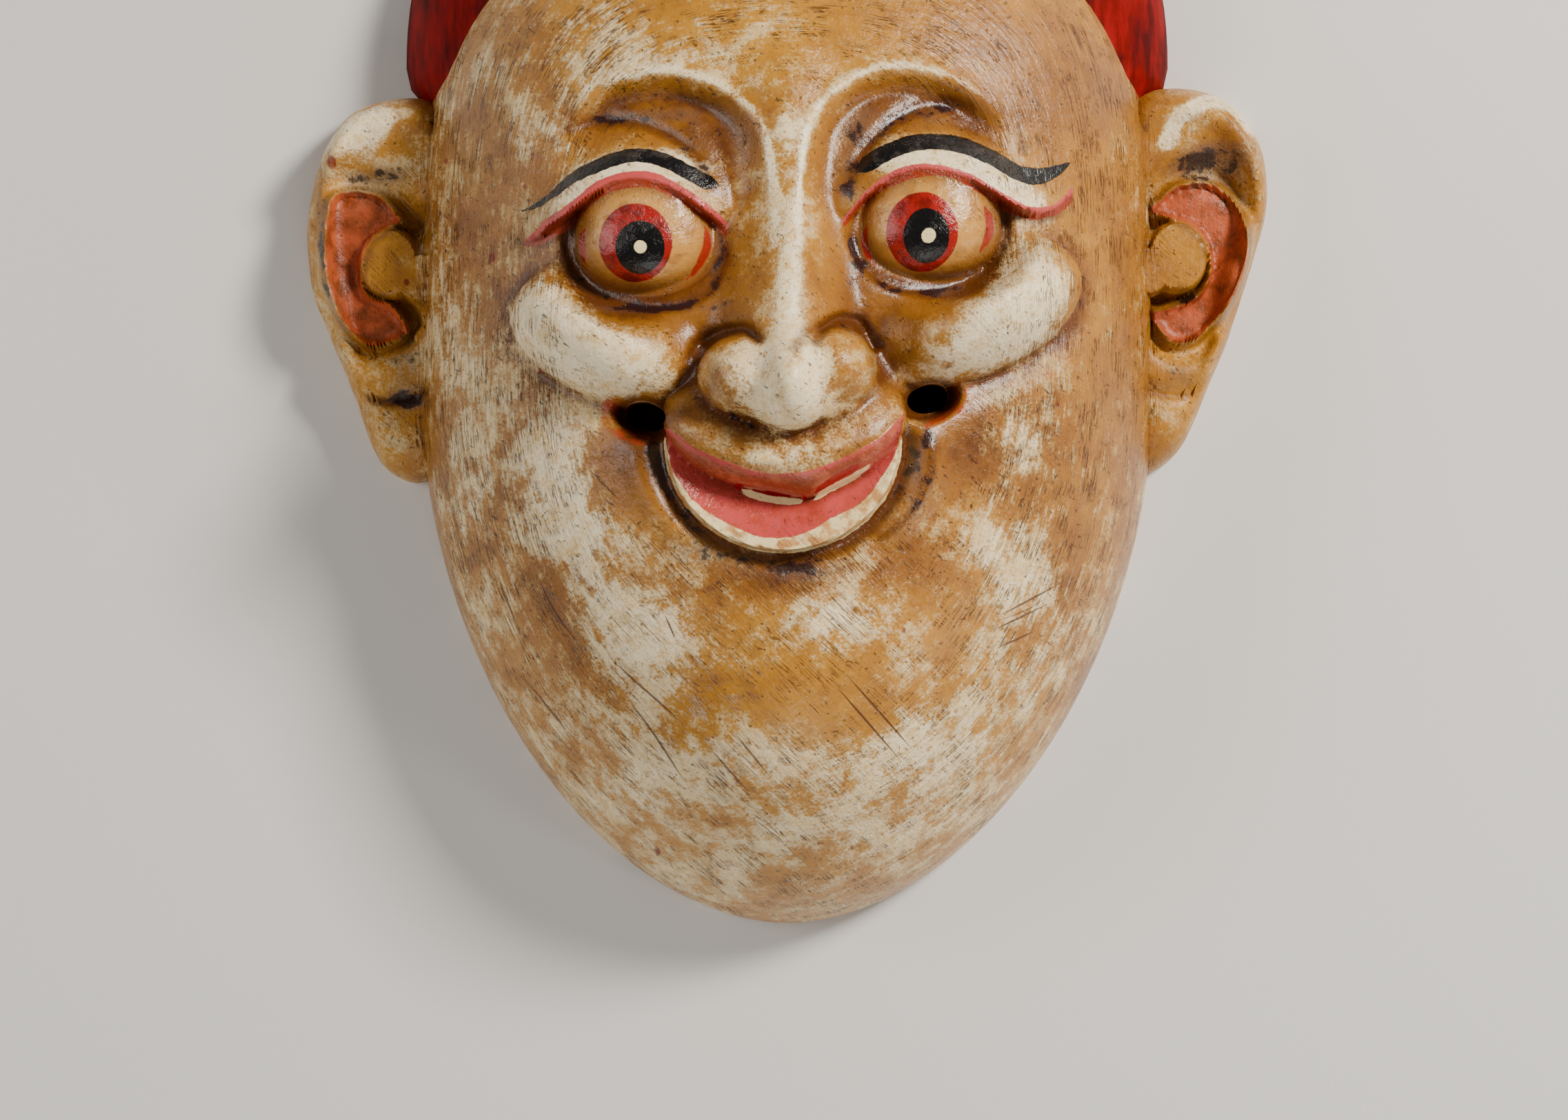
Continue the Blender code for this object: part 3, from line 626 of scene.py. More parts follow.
# The finer mesh of the ears reaches further than the solid's straight sides, so it is narrower
EAR_NARROWED = 0.994
ear_unit = np.array([EAR_HEIGHT, EAR_HEIGHT, EAR_DEPTH]) / np.array([DRAWN_EAR, DRAWN_EAR, DRAWN_EAR_DEPTH])
for side, name in ((-1, "ear_left_block"), (1, "ear_right_block")):
    points, faces = carved_grid(lambda angle: ear_outline(angle, side),
                                lambda u, v, share: carved_ear(u, v, share, side), (0.0, 0.0),
                                EAR_SPOKES, EAR_RINGS, 0.5)
    points = points * ear_unit * np.array([EAR_NARROWED * side, 1.0, 1.0])
    points = points + on_face(np.array([EAR_AT[side][0], EAR_AT[side][1], 0.0]))
    tools.append((wooden_block(name, points, faces, "ear_paint"), "UNION"))

# The hollow
# The back is hollowed out to a wall of even thickness at the rim and left bare. At each corner
# of the mouth a small oval hole goes through the wall.
GOUGE_MARK = 0.0005
# The wall in front, in walls of the rim
FRONT_WALLS = 1.7
hollow_pole = (0.0, float(on_face(np.array([0.0, POLE[1], 0.0]))[1]))


def hollow_outline(angle):
    """The face's edge again, smaller by the wall all round, with the same powers."""
    return outline(angle, hollow_pole, MIDDLE, FACE_WIDTH / 2 - WALL, ABOVE * UNIT[1] - WALL,
                   BELOW * UNIT[1] - WALL, FACE_POWERS)


def hollow_height(x, y, share):
    """The plain face, lower by the front's wall, less shallow marks of the gouge: two crossing
    waves, each bent by another."""
    drawn_y = (y - MIDDLE) / UNIT[1] + DRAWN_MIDDLE
    plain = plain_face(x / UNIT[0], drawn_y, share) * UNIT[2] * (1 - FRONT_WALLS * WALL / FACE_DEPTH)
    gouge = np.sin(x * 520 + 2.0 * np.sin(y * 60)) * np.sin(y * 240 + 1.5 * np.sin(x * 80))
    return plain - GOUGE_MARK * gouge * ramp((1 - share) / 0.15)


HOLLOW_SPOKES = 150
HOLLOW_RINGS = 56
points, faces = carved_grid(hollow_outline, hollow_height, hollow_pole, HOLLOW_SPOKES, HOLLOW_RINGS, 1.0)
# The rim and the middle of its flat side go below the back, so the cut is open there
points[1 + (np.arange(HOLLOW_SPOKES) + 1) * HOLLOW_RINGS, 2] = -WALL
points[1, 2] = -WALL
tools.append((wooden_block("hollow_block", points, faces, "bare_wood"), "DIFFERENCE"))
HOLE_SIDES = 40
for side, name in ((-1, "mouth_left_block"), (1, "mouth_right_block")):
    centre, turn = MOUTH_CORNER[side]
    around = np.arange(HOLE_SIDES) * 2 * np.pi / HOLE_SIDES
    u, v = turned(HOLE_LENGTH / 2 * np.cos(around), HOLE_HEIGHT / 2 * np.sin(around), -turn)
    place = on_face(np.array([centre[0], centre[1], 0.0]))
    ring = np.column_stack([u + place[0], v + place[1]])
    points = np.vstack([np.column_stack([ring, np.full(HOLE_SIDES, z * FACE_DEPTH)]) for z in (0.4, 1.3)])
    n = HOLE_SIDES
    faces = [tuple(range(n))[::-1], tuple(range(n, 2 * n))]
    faces += [(k, (k + 1) % n, n + (k + 1) % n, n + k) for k in range(n)]
    tools.append((wooden_block(name, points, faces, "bare_wood"), "DIFFERENCE"))

# Joining
# All of it is one block of wood: the hair and the ears are joined to the face, and the hollow
# and the two openings at the corners of the mouth are cut out of it.
for tool, how in tools:
    step = mask.modifiers.new(tool.name, "BOOLEAN")
    step.operation = how
    step.solver = "EXACT"
    step.object = tool
bpy.context.view_layer.update()
carved = bpy.data.meshes.new_from_object(mask.evaluated_get(bpy.context.evaluated_depsgraph_get()))
for made in [mask] + [tool for tool, _ in tools]:
    bpy.data.objects.remove(made, do_unlink=True)
piece = bpy.data.objects.new("carved_mask", carved)
carved.name = "carved_mask"
bpy.context.scene.collection.objects.link(piece)

# The paint on the face
# Cream paint lies under an ochre wax glaze that was rubbed off the high places and left dark in
# the grooves. Some creases, the nostril and the funnels of the holes are darkened further as
# painted shade, and each pupil has a painted highlight. The brows, lids, eyes and lips are brushed
# on top. Every painted edge is a signed distance in millimetres, worked out here for each point and
# kept as an attribute of the mesh.
count = len(carved.vertices)
places = np.empty(count * 3)
carved.vertices.foreach_get("co", places)
places = places.reshape(-1, 3)
px = places[:, 0] / UNIT[0]
py = (places[:, 1] - MIDDLE) / UNIT[1] + DRAWN_MIDDLE


def keep(name, values):
    """Stores one number for each point of the mask, as an attribute the paint reads."""
    layer = carved.attributes.new(name, "FLOAT", "POINT")
    layer.data.foreach_set("value", np.asarray(values, np.float32))


def stroke(points, half, first, last):
    """A brush stroke: half width, tapered over its first and last share, less the distance."""
    d, along = beside(px, py, points)
    return half * ends(np.clip(along, 0, 1), first, last) ** 0.6 - np.abs(d)


def patch(shapes):
    """A sum of soft patches, each an amount times a bell curve over an oval: the amount, the
    oval's middle x and y, its half sizes and its turn."""
    total = np.zeros(count)
    for amount, x, y, wide, high, turn in shapes:
        total += amount * np.exp(-oval(px, py, (x, y), (wide, high), turn) ** 2)
    return total


# The black brows, thin at their outer ends
BROW_LEFT = [(-67.8, 27), (-63.1, 27.4), (-59.8, 28.7), (-56.5, 30.5), (-53.2, 33), (-49.9, 35),
             (-43.3, 37.8), (-36.7, 39.3), (-30.1, 38.1), (-23.4, 34.8), (-20.1, 33), (-16.3, 31.7)]
BROW_RIGHT = [(16, 34.8), (19.5, 37.1), (22.8, 39.3), (29.4, 41.9), (36.1, 42.6), (42.7, 41.6), (49.3, 39),
              (54.2, 36.3), (57.9, 35.2), (62.5, 35.7), (66.6, 37.6), (70.5, 40.6)]
keep("brow", np.maximum(stroke(BROW_LEFT, 1.75, 0.5, 0.05), stroke(BROW_RIGHT, 2.1, 0.08, 0.22)))

# The pink edge of each upper lid, turning brown-red below it as painted shade where the lid turns under
LID_TOP = {
    -1: [(-64.5, 19.4), (-59.8, 23.1), (-56.5, 25.1), (-53.2, 27.1), (-49.9, 29.5), (-46.6, 32.2),
         (-43.3, 33.8), (-40, 34.8), (-35.8, 35.2), (-32.5, 35), (-26.8, 32.4), (-20.1, 28.1), (-14, 22.8)],
    1: [(13, 23.4), (16.2, 27.4), (19.5, 30.9), (22.8, 33.7), (26.1, 35.5), (29.4, 36.5), (34.4, 36.8),
        (42.7, 35), (49.3, 31.4), (55.9, 27.9), (59.2, 27.4), (62.5, 27.9), (65.8, 29.2), (70, 33.6)],
}
LID_LOW = {
    -1: [(-64, 18.2), (-59.9, 18.6), (-56.6, 20.1), (-53.3, 21.9), (-50, 24.4), (-46.7, 27.6),
         (-43.4, 29.7), (-40.1, 30.7), (-33.4, 31.2), (-26.8, 28.4), (-20, 23.7), (-14.4, 19.4)],
    1: [(13.4, 21.4), (17.1, 26.1), (19.6, 28.2), (22.9, 30.6), (29.5, 33.2), (37.8, 33.9), (44.4, 31),
        (52.7, 26.4), (59.3, 24.6), (62.6, 25.3), (66, 26.4), (69.8, 29.6)],
}
pink = np.full(count, -9.0)
tucked = np.full(count, 9.0)
for side, first, last in ((-1, -64.2, -14.2), (1, 13.2, 69.9)):
    over, _ = beside(px, py, LID_TOP[side])
    under, _ = beside(px, py, LID_LOW[side])
    inside = np.minimum(np.minimum(-over, under), np.minimum(px - first, last - px))
    pink = np.maximum(pink, inside)
    edge, _ = beside(px, py, LID[side])
    tucked = np.where(inside > -1.5, edge, tucked)
keep("lid_pink", pink)
keep("lid_turn", tucked)

# The eyes: red iris, black pupil, a painted highlight of white on each pupil, and thin red strokes at the
# sides
IRIS = {-1: ((-36.3, 18.0), (8.8, 9.3)), 1: ((32.2, 20.6), (8.6, 9.4))}
PUPIL = {-1: ((-35.2, 16.8), (5.9, 6.3)), 1: ((33.2, 19.6), (5.5, 6.5))}
GLINT = {-1: ((-35.1, 16.8), (1.55, 1.6)), 1: ((33.7, 19.5), (1.75, 1.8))}
for name, rounds in (("iris", IRIS), ("pupil", PUPIL), ("glint", GLINT)):
    keep(name, np.maximum(*[(1 - oval(px, py, *rounds[side])) * rounds[side][1][0] for side in (-1, 1)]))
ball_in = []
for side in (-1, 1):
    middle, half = EYEBALL[side]
    q = oval(px, py, middle, (half[0], np.where(py > middle[1], EYEBALL_UP, half[1])))
    d, _ = beside(px, py, LID[side])
    ball_in.append(np.where(q < 1.4, np.minimum((1 - q) * 13, -d), -9.0))
keep("ball", np.maximum(*ball_in))
veins = [
    stroke([(-48.4, 22.9), (-49.2, 19.3), (-49.1, 15.2), (-48.2, 12.2)], 0.7, 0.4, 0.4),
    stroke([(-20.0, 23.0), (-19.2, 18.5), (-20.5, 14.3), (-23, 10.5), (-25.2, 8.8)], 1.0, 0.3, 0.6),
    stroke([(19.2, 23.2), (18.6, 19.3), (19.2, 16), (21.2, 12.2)], 0.8, 0.4, 0.4),
    stroke([(46.9, 28.2), (48.5, 23.4), (48.3, 20.1), (46.0, 15.6)], 1.0, 0.4, 0.4),
]
keep("vein", np.maximum.reduce(veins))

# The mouth: pink lips, a cream border on the lower one, a red line and a strip of teeth
SKIN_EDGE = [(-29.5, -26), (-25.7, -28.4), (-23.3, -30.5), (-20, -32.2), (-16.7, -33.6), (-13.4, -34.9),
             (-10.1, -36.1), (-6.9, -36.9), (-1.9, -37.4), (3, -37.1), (7.9, -35.9), (12.8, -33.8),
             (17.7, -31.3), (21.8, -29), (25.9, -24.8), (28.6, -21.6)]
PINK_EDGE = [(-29.4, -27.5), (-28.7, -31.1), (-27.6, -36.1), (-25.1, -40.2), (-22.6, -43.5), (-18.5, -46.8),
             (-13.5, -49.6), (-8.6, -51.8), (-5.3, -52.6), (-0.3, -52.6), (3, -51.9), (6.3, -50.6),
             (9.6, -48.5), (12.9, -46.8), (16.2, -45.2), (19.9, -41.9), (22.8, -37.7), (25.6, -33.1),
             (27.4, -26)]
LIP_EDGE = [(-29, -27.6), (-28.3, -28.8), (-25.8, -32.1), (-22.5, -34.9), (-18.4, -37.8), (-13.5, -39.3),
            (-8.5, -40.1), (-3.6, -40.8), (1.3, -41.8), (5.3, -43.1), (9.6, -39.8), (16.2, -36.2),
            (20.3, -33.7), (24.4, -29.6), (27, -25)]
skin, _ = beside(px, py, SKIN_EDGE)
rosy, _ = beside(px, py, PINK_EDGE)
lower, _ = beside(px, py, LIP_EDGE)
near_mouth = oval(px, py, (-1.0, -34.0), (34.0, 26.0)) < 1
keep("lips", np.where(near_mouth, np.minimum(-skin, rosy), -9.0))
keep("upper_lip", np.where(near_mouth, lower, -9.0))
rim_of_lip = (1 - oval(px, py, *LOWER_LIP)) * LIP_REACH
keep("lip_border", np.where(near_mouth & (py < -28), np.minimum(rim_of_lip + 0.6, -rosy), -9.0))
LINE_LEFT = [(-13, -40), (-9, -41), (-3, -42.1), (5, -43.3)]
LINE_RIGHT = [(6.4, -42.2), (9.6, -39.6), (14, -37), (19, -34.2)]
TEETH_LEFT = [(-12.8, -40.8), (-9, -42), (-3, -43.5), (5.2, -44)]
TEETH_RIGHT = [(5.6, -43.9), (9.6, -41.3), (16.2, -37.8), (22, -33.6)]
keep("mouth_line", np.maximum(stroke(LINE_LEFT, 0.8, 0.1, 0.1), stroke(LINE_RIGHT, 0.7, 0.1, 0.3)))
keep("teeth", np.maximum(stroke(TEETH_LEFT, 0.85, 0.25, 0.25), stroke(TEETH_RIGHT, 0.7, 0.2, 0.5)))

# Where the glaze is rubbed through to the cream, and where it has stayed dark brown
socket_light = np.zeros(count)
for side in (-1, 1):
    d, along = beside(px, py, SOCKET[side])
    glow = 0.8 * dip(side * d + 1.2, 1.2) * ends(along, 0.25, 0.3)
    socket_light = np.maximum(socket_light, glow)
HELIX_LIGHT = [(96.2, 48), (99.2, 54), (104.4, 57.7), (108.8, 59), (114, 57), (117.6, 52.5)]
keep("worn", patch([
    (1.5, -49, -8, 17, 9, -24), (0.7, -60, 4, 6, 10, 0), (1.4, 54, 2, 11, 15, -35),
    (0.6, 44, -8, 14, 4, 20), (-0.9, -36, 4, 18, 8, -14), (-0.9, 34, 6, 18, 8, 10),
    (1.1, 0.5, 4, 2.4, 17, 0), (1.5, 1, -17, 8, 11, 0), (0.5, -12, -14, 6, 6, 0), (0.6, 0, 46, 5, 12, 0),
    (1.1, -46, 31, 14, 4, 28), (1.2, -34, 36, 14, 3, 0), (1.2, 34, 38.5, 14, 3, 0),
    (1.3, 52, 31.5, 13, 4, -28), (0.35, -62, 44, 12, 8, 20), (0.45, -52, 68, 16, 6, 15),
    (0.3, -36, 62, 20, 3, 8), (0.2, 26, 62, 16, 3, 0), (1.1, -54, -41, 9, 18, 15),
    (0.35, -80, -30, 6, 44, 4), (0.1, -78, 60, 10, 28, 0), (0.2, -60, 85, 20, 14, 0),
    (0.7, 12, -70, 14, 9, 0), (0.65, -34, -76, 13, 9, -30), (0.3, 0, -120, 46, 26, 0),
    (0.25, -40, -100, 24, 24, 0), (0.4, 34, -104, 18, 20, 0), (0.4, 54, -60, 10, 24, 20),
    (0.3, 52, -32, 16, 9, 30), (-0.5, 0, -64, 26, 7, 0), (-0.8, 40, -36, 14, 12, 0),
    (-0.7, -36, -36, 12, 14, 0), (-0.5, 76, 20, 12, 60, 0), (-0.6, -30, 50, 20, 6, 0),
    (-0.6, 34, 52, 20, 6, 0), (-0.5, 0, -90, 24, 10, 0), (-0.5, 20, 92, 60, 20, 0),
    (-0.5, 14, 10, 6, 22, 0), (-0.4, -14, 8, 6, 16, 0), (-0.15, 0, -27, 28, 5, 0), (0.3, 3, -34, 18, 2, 0),
    (-0.05, -16, -13, 6, 8, 0), (-0.1, 17, -11, 6, 8, 0), (-0.5, 52, 76, 40, 34, 0),
    (-0.1, -66, 62, 10, 34, 10), (0.15, -40, -62, 30, 20, -30), (-0.35, -74, 30, 9, 22, 0),
    (-0.3, -58, -78, 9, 16, 30), (1.4, -107, 52, 8, 4.5, 20), (-0.4, -101, 17, 7, 9, 0),
    (-0.5, 99.5, 19, 7, 9, 0), (-0.3, 106, -10, 9, 30, 0),
]) + 1.9 * dip(beside(px, py, HELIX_LIGHT)[0], 1.7) + socket_light - 0.22)
keep("stain", patch([
    (0.55, 44, -31, 16, 9, 30), (0.4, 62, -24, 14, 22, 0), (0.6, -38, -33, 10, 9, 0),
    (0.7, 4, -62, 20, 5, 0), (0.6, -34, 8, 21, 14, 0), (0.6, 34, 10, 21, 14, 0), (0.7, -18, 40, 9, 14, 30),
    (0.6, 20, 42, 9, 14, -30), (0.45, -36, 50, 22, 6, 0), (0.4, 34, 50, 24, 6, 0), (0.35, 86, 10, 9, 90, 0),
    (0.3, -88, 20, 7, 60, 0), (0.4, 70, -70, 12, 40, 20), (0.3, -2, -24, 26, 6, 0),
    (0.45, 60, 62, 24, 20, 0), (0.4, 30, -50, 10, 14, 30), (0.5, 0, -31, 34, 30, 0),
    (0.3, -22, -62, 14, 8, 0), (0.5, 112, 44, 9, 8, 0), (0.45, -70, 10, 20, 60, 0),
    (0.4, -56, -70, 16, 40, 20),
]))
# Where lamp black was rubbed in: beside the lower lip, under the mouth, in the sockets and ears
keep("soot", patch([
    (1.5, -31, -36, 2.6, 9, 20), (1, -24, -48, 3, 6, 40), (1.2, 31.5, -34, 2.4, 12, -12),
    (1.4, 3.5, -60.5, 8, 2.6, 0), (0.8, -17, -58, 14, 3, -20), (1, -36, 49.5, 16, 2.2, 0),
    (0.8, -20, 41, 3, 8, 30), (1.1, 16, 40, 3.5, 12, -14), (0.9, 30, 50, 14, 2.6, 10),
    (1.1, -17, 14, 2.6, 8, 0), (1, 16.5, 14, 2.6, 8, 0), (1, -34, 2.5, 16, 1.8, 0),
    (0.9, 34, 7, 16, 1.8, 0), (0.5, -12, -28, 10, 3.5, -10), (0.6, 20, -19, 5, 4, 0),
    (0.4, -50, -8, 5, 4, 0), (1.6, 103, 43.5, 8, 3, 20), (0.9, 113, 44, 8, 9, 0), (1.3, 101, 7.5, 6, 2, 20),
    (1, 100, -11, 5, 3, 0), (1.2, -104, 40, 9, 2, 0), (1.2, -118.5, 26, 1.6, 16, 4),
    (0.8, -97, -12, 4, 14, 0), (1.4, -96, -17.5, 7, 1.6, -10),
]))
SPECKS = [(-85.4, 42, 0.9), (-72.5, 16.3, 1.2), (-32.8, -131, 1.3), (-115.5, 43, 1.6), (-96.5, 12.5, 0.9),
          (-64, 33, 0.7), (66, -20, 0.7), (-47, 10, 0.8), (-60, -12, 0.7), (28, -75, 0.8)]
keep("speck", np.maximum.reduce([1 - oval(px, py, (x, y), (r, 1.3 * r)) for x, y, r in SPECKS]))

# The dark wax left along the grooves, with painted shade in the crease under each cheek, under the nostril
# and around the holes at the mouth's corners
lines = [(UNDER[-1], 2.0), (UNDER[1], 2.0), (FOLD[-1], 1.8), (FOLD[1], 2.2), (OVER_WING[-1], 2.0),
         (OVER_WING[1], 2.0), (SMILE[1], 1.6), (LID_LOW[-1], 1.2), (LID_LOW[1], 1.4)]
dark = np.zeros(count)
for points, width in lines:
    dark = np.maximum(dark, furrow(px, py, points, width, 0.08, 0.08))
ring = (oval(px, py, *LOWER_LIP) - 1) * LIP_REACH
dark = np.maximum(dark, dip(ring - 2.2, 2.4) * ramp((-24 - py) / 6))
dark = np.maximum(dark, 0.8 * dip((oval(px, py, *WING[1]) - 1.05) * 9, 2.0) * ramp((py + 12) / 4))
# The crease under each cheek: painted shade below the cheek's bulge
for side in (-1, 1):
    middle, (wide, low, high), turn = CHEEK[side]
    q = oval(px, py, middle, (wide, low), turn)
    dark = np.maximum(dark, 0.62 * dip((q - 1.03) * 15, 1.6) * ramp((middle[1] - 2 - py) / 6))
# Under the left wing of the nose: a dark slit, both dark paint and a painted shadow of the nostril
NOSTRIL = [(-15, -22), (-12.5, -24), (-9, -26), (-5.5, -27)]
dark = np.maximum(dark, 2.2 * furrow(px, py, NOSTRIL, 0.8, 0.3, 0.3))
# Each hole is ringed with dark glaze and painted shade down its funnel; a red rim lies beside it
red_rim = np.full(count, -1.0)
for side in (-1, 1):
    corner = oval(px, py, MOUTH_CORNER[side][0], (5.3, 3.5), MOUTH_CORNER[side][1])
    dark = np.maximum(dark, 0.9 * ramp((1.6 - corner) / 0.5))
    rim = np.where(side * (px - MOUTH_CORNER[side][0][0]) > -1.0, 2.4 * (0.35 - np.abs(corner - 1.7)), -1.0)
    red_rim = np.maximum(red_rim, np.where(py < MOUTH_CORNER[side][0][1] + 4, rim, -1.0))

# The paint on the ears
# The plate around each tab is brushed dull red, by its signed distance. Its edge, the hollows
# around it and the crease of the lobe are sooty.
red = np.full(count, -9.0)
for side in (-1, 1):
    u = side * (px - EAR_AT[side][0])
    v = py - EAR_AT[side][1]
    inside = plate(u, v, side)
    here = (np.hypot(u, v) < 60) & (side * px > 80)
    red = np.where(here, inside, red)
    smile = dip(v + 35 - 0.03 * (u + 1) ** 2, 1.2) * ramp((u + 14) / 6) * ramp((8 - u) / 6)
    soot = np.maximum(dip(inside + 1.0, 1.2) * 0.75, (1.5 if side < 0 else 0.7) * smile)
    dark = np.where(here, soot, dark)
keep("ear_red", red)
keep("red_rim", red_rim)
keep("groove", dark)

# The longest scratches of the knife and the rasp, kept as a signed distance and a half width
CUTS = [
    [(-40.9, -88.9), (-32.3, -100.4), (-23.3, -115)],
    [(-46.3, -78.7), (-37.9, -86.4), (-25.9, -97.2), (-24.3, -103)], [(-66.1, -86.4), (-52.6, -103)],
    [(9.7, -85.9), (29.7, -109.2)], [(12, -83), (33, -107)], [(49.6, -72.6), (69.6, -62.6)],
    [(48, -76), (66, -68)], [(50, -80), (62, -75)], [(-62, -60), (-57, -70), (-50, -80)],
    [(-30, -70), (-26.5, -78)], [(-72, -62), (-66, -76)], [(-20, -102), (-8, -116)],
    [(-14, -98), (-3, -112)], [(-48, -36), (-40, -44)],
]
cut = np.full(count, 99.0)
cut_half = np.zeros(count)
for line in CUTS:
    d, along = beside(px, py, line)
    near = np.abs(d) < np.abs(cut)
    cut = np.where(near, d, cut)
    cut_half = np.where(near, 0.34 * ends(np.clip(along, 0, 1), 0.4, 0.4) - 0.1, cut_half)
cut_half = np.where(np.abs(cut) < 1.5, cut_half, -9.0)
keep("cut", cut)
keep("cut_half", cut_half)

# How deep a place lies below what is around it, from the carving's height smoothed over 3 mm
CELL = 0.8
across = np.arange(-100.0, 100.5, CELL)
upward = np.arange(-156.0, 130.5, CELL)
gx, gy = np.meshgrid(across, upward)


def from_pole(x, y):
    """The direction from the pole, and the distance from it as a share of the edge's there."""
    angle = np.arctan2(y - POLE[1], x - POLE[0])
    edge = np.interp(angle, ALL_ROUND, face_outline(ALL_ROUND))
    return angle, np.hypot(x - POLE[0], y - POLE[1]) / edge


height = carved_face(gx, gy, np.clip(from_pole(gx, gy)[1], 0, 1))


def smoothed(field, cells):
    """The field averaged with a bell curve over some cells, along both directions."""
    bell = np.exp(-0.5 * (np.arange(-3 * cells, 3 * cells + 1) / cells) ** 2)
    bell /= bell.sum()
    reach = 3 * cells
    wide = np.pad(field, reach, mode="edge")
    rows = sum(w * wide[:, k:k + field.shape[1]] for k, w in enumerate(bell))
    return sum(w * rows[k:k + field.shape[0]] for k, w in enumerate(bell))


def looked_up(field, x, y):
    """Reads a field of the square grid at any place, by the four cells around it."""
    fx = np.clip((x - across[0]) / CELL, 0, field.shape[1] - 1.001)
    fy = np.clip((y - upward[0]) / CELL, 0, field.shape[0] - 1.001)
    i = fx.astype(int)
    j = fy.astype(int)
    u = fx - i
    v = fy - j
    low = field[j, i] * (1 - u) + field[j, i + 1] * u
    high = field[j + 1, i] * (1 - u) + field[j + 1, i + 1] * u
    return low * (1 - v) + high * v


hidden = np.clip((smoothed(height, 4) - height) / 3.0, -1, 1)
wide_hidden = np.clip((smoothed(height, 10) - height) / 7.0, -1, 1)
angle, share = from_pole(px, py)
near = np.clip(looked_up(hidden, px, py), 0, 1)
around = np.clip(looked_up(wide_hidden, px, py), 0, 1)
keep("sunken", np.where(share < 0.98, 1.0, 0.0) * (0.6 * near + 0.5 * around))

# The brush marks follow the outline of the face: across is the distance from its edge
below_mouth = 0.9 * dip(px + 8, 42.0) * ramp((-50 - py) / 20)
keep("edge", np.where(share < 1, ramp((share - 0.42) / 0.22) * (1 - below_mouth), 0.2))
keep("chin", ramp((-46 - py) / 14) + 0.35)
layer = carved.attributes.new("grain", "FLOAT_VECTOR", "POINT")
layer.data.foreach_set("vector", (95 * np.column_stack([share, np.cos(angle), np.sin(angle)])).ravel())

# The finishes
# The paint is a cream ground, glazed with ochre and brown wax, with satin colours brushed on and
# a thin lacquer over all of it. Each finish is built of shader nodes by the two classes below.


class Level:
    """A number that varies over a surface. Arithmetic on it adds Math nodes."""

    def __init__(self, finish, socket):
        self.finish = finish
        self.socket = socket

    def maths(self, how, *values):
        """One Math node of these values."""
        made = self.finish.node("ShaderNodeMath", {"operation": how}, dict(enumerate(values)))
        return Level(self.finish, made.outputs[0])

    def __add__(self, other):
        return self.maths("ADD", self, other)

    def __sub__(self, other):
        return self.maths("SUBTRACT", self, other)

    def __rsub__(self, other):
        return self.maths("SUBTRACT", other, self)

    def __mul__(self, other):
        return self.maths("MULTIPLY", self, other)

    def __abs__(self):
        return self.maths("ABSOLUTE", self)

    __radd__ = __add__
    __rmul__ = __mul__

    def over(self, low, high):
        """Goes smoothly from 0 at one level to 1 at the other, which may be the lower one."""
        how = {"interpolation_type": "SMOOTHSTEP"}
        made = self.finish.node("ShaderNodeMapRange", how, {0: self, 1: low, 2: high})
        return Level(self.finish, made.outputs[0])


class Finish:
    """One finish of the mask: its material, and the ways to add to it."""

    def __init__(self, name):
        self.material = bpy.data.materials[name]
        self.material.use_nodes = True
        self.tree = self.material.node_tree
        self.shader = self.tree.nodes["Principled BSDF"]
        self.place = self.node("ShaderNodeTexCoord").outputs["Object"]

    def join(self, value, socket):
        """Links a level or a socket to a socket, or sets a plain value on it."""
        value = value.socket if isinstance(value, Level) else value
        if isinstance(value, bpy.types.NodeSocket):
            self.tree.links.new(value, socket)
        else:
            socket.default_value = value

    def node(self, kind, settings=None, values=None):
        """Adds a node: its settings first, then the values or links of its sockets."""
        made = self.tree.nodes.new(kind)
        for key, value in (settings or {}).items():
            setattr(made, key, value)
        for key, value in (values or {}).items():
            self.join(value, made.inputs[key])
        return made

    def kept(self, name):
        """A number kept with the points of the mask."""
        return Level(self, self.node("ShaderNodeAttribute", {"attribute_name": name}).outputs["Fac"])

    def cloud(self, scale, detail=4.0, rough=0.55, where=None, turn=0.0):
        """Noise about one half, with this many grains to a unit along each direction."""
        scale = scale if isinstance(scale, tuple) else (scale, scale, scale)
        where = where or self.place
        if turn:
            about = {"rotation_type": "Z_AXIS"}
            where = self.node("ShaderNodeVectorRotate", about, {"Vector": where, "Angle": turn}).outputs[0]
        where = self.node("ShaderNodeMapping", None, {"Vector": where, "Scale": scale}).outputs[0]
        values = {"Vector": where, "Scale": 1.0, "Detail": detail, "Roughness": rough}
        return Level(self, self.node("ShaderNodeTexNoise", None, values).outputs[0])

    def paint(self, under, colour, cover):
        """One coat of colour over another, as thick as its cover."""
        made = self.node("ShaderNodeMix", {"data_type": "RGBA"}, {0: cover, 6: under, 7: colour})
        return made.outputs[2]

    def coats(self, under, *coats):
        """Several coats, one over the other, each a colour and its cover."""
        for colour, cover in coats:
            under = self.paint(under, colour, cover)
        return under

    def surface(self, colour, rough, height, depth, plain):
        """Puts the colour, the roughness, the relief, which is this many metres deep at a height
        of 1, and the plain values on the shader."""
        bump = self.node("ShaderNodeBump", None, {"Height": height, "Distance": depth, "Strength": 1.0})
        values = {"Base Color": colour, "Roughness": rough, "Normal": bump.outputs[0], **plain}
        for name, value in values.items():
            self.join(value, self.shader.inputs[name])


def shade(red, green, blue):
    """A colour given as a paint chart does, 0 to 255, turned to linear light."""
    return tuple((c / 255) ** 2.2 for c in (red, green, blue)) + (1.0,)


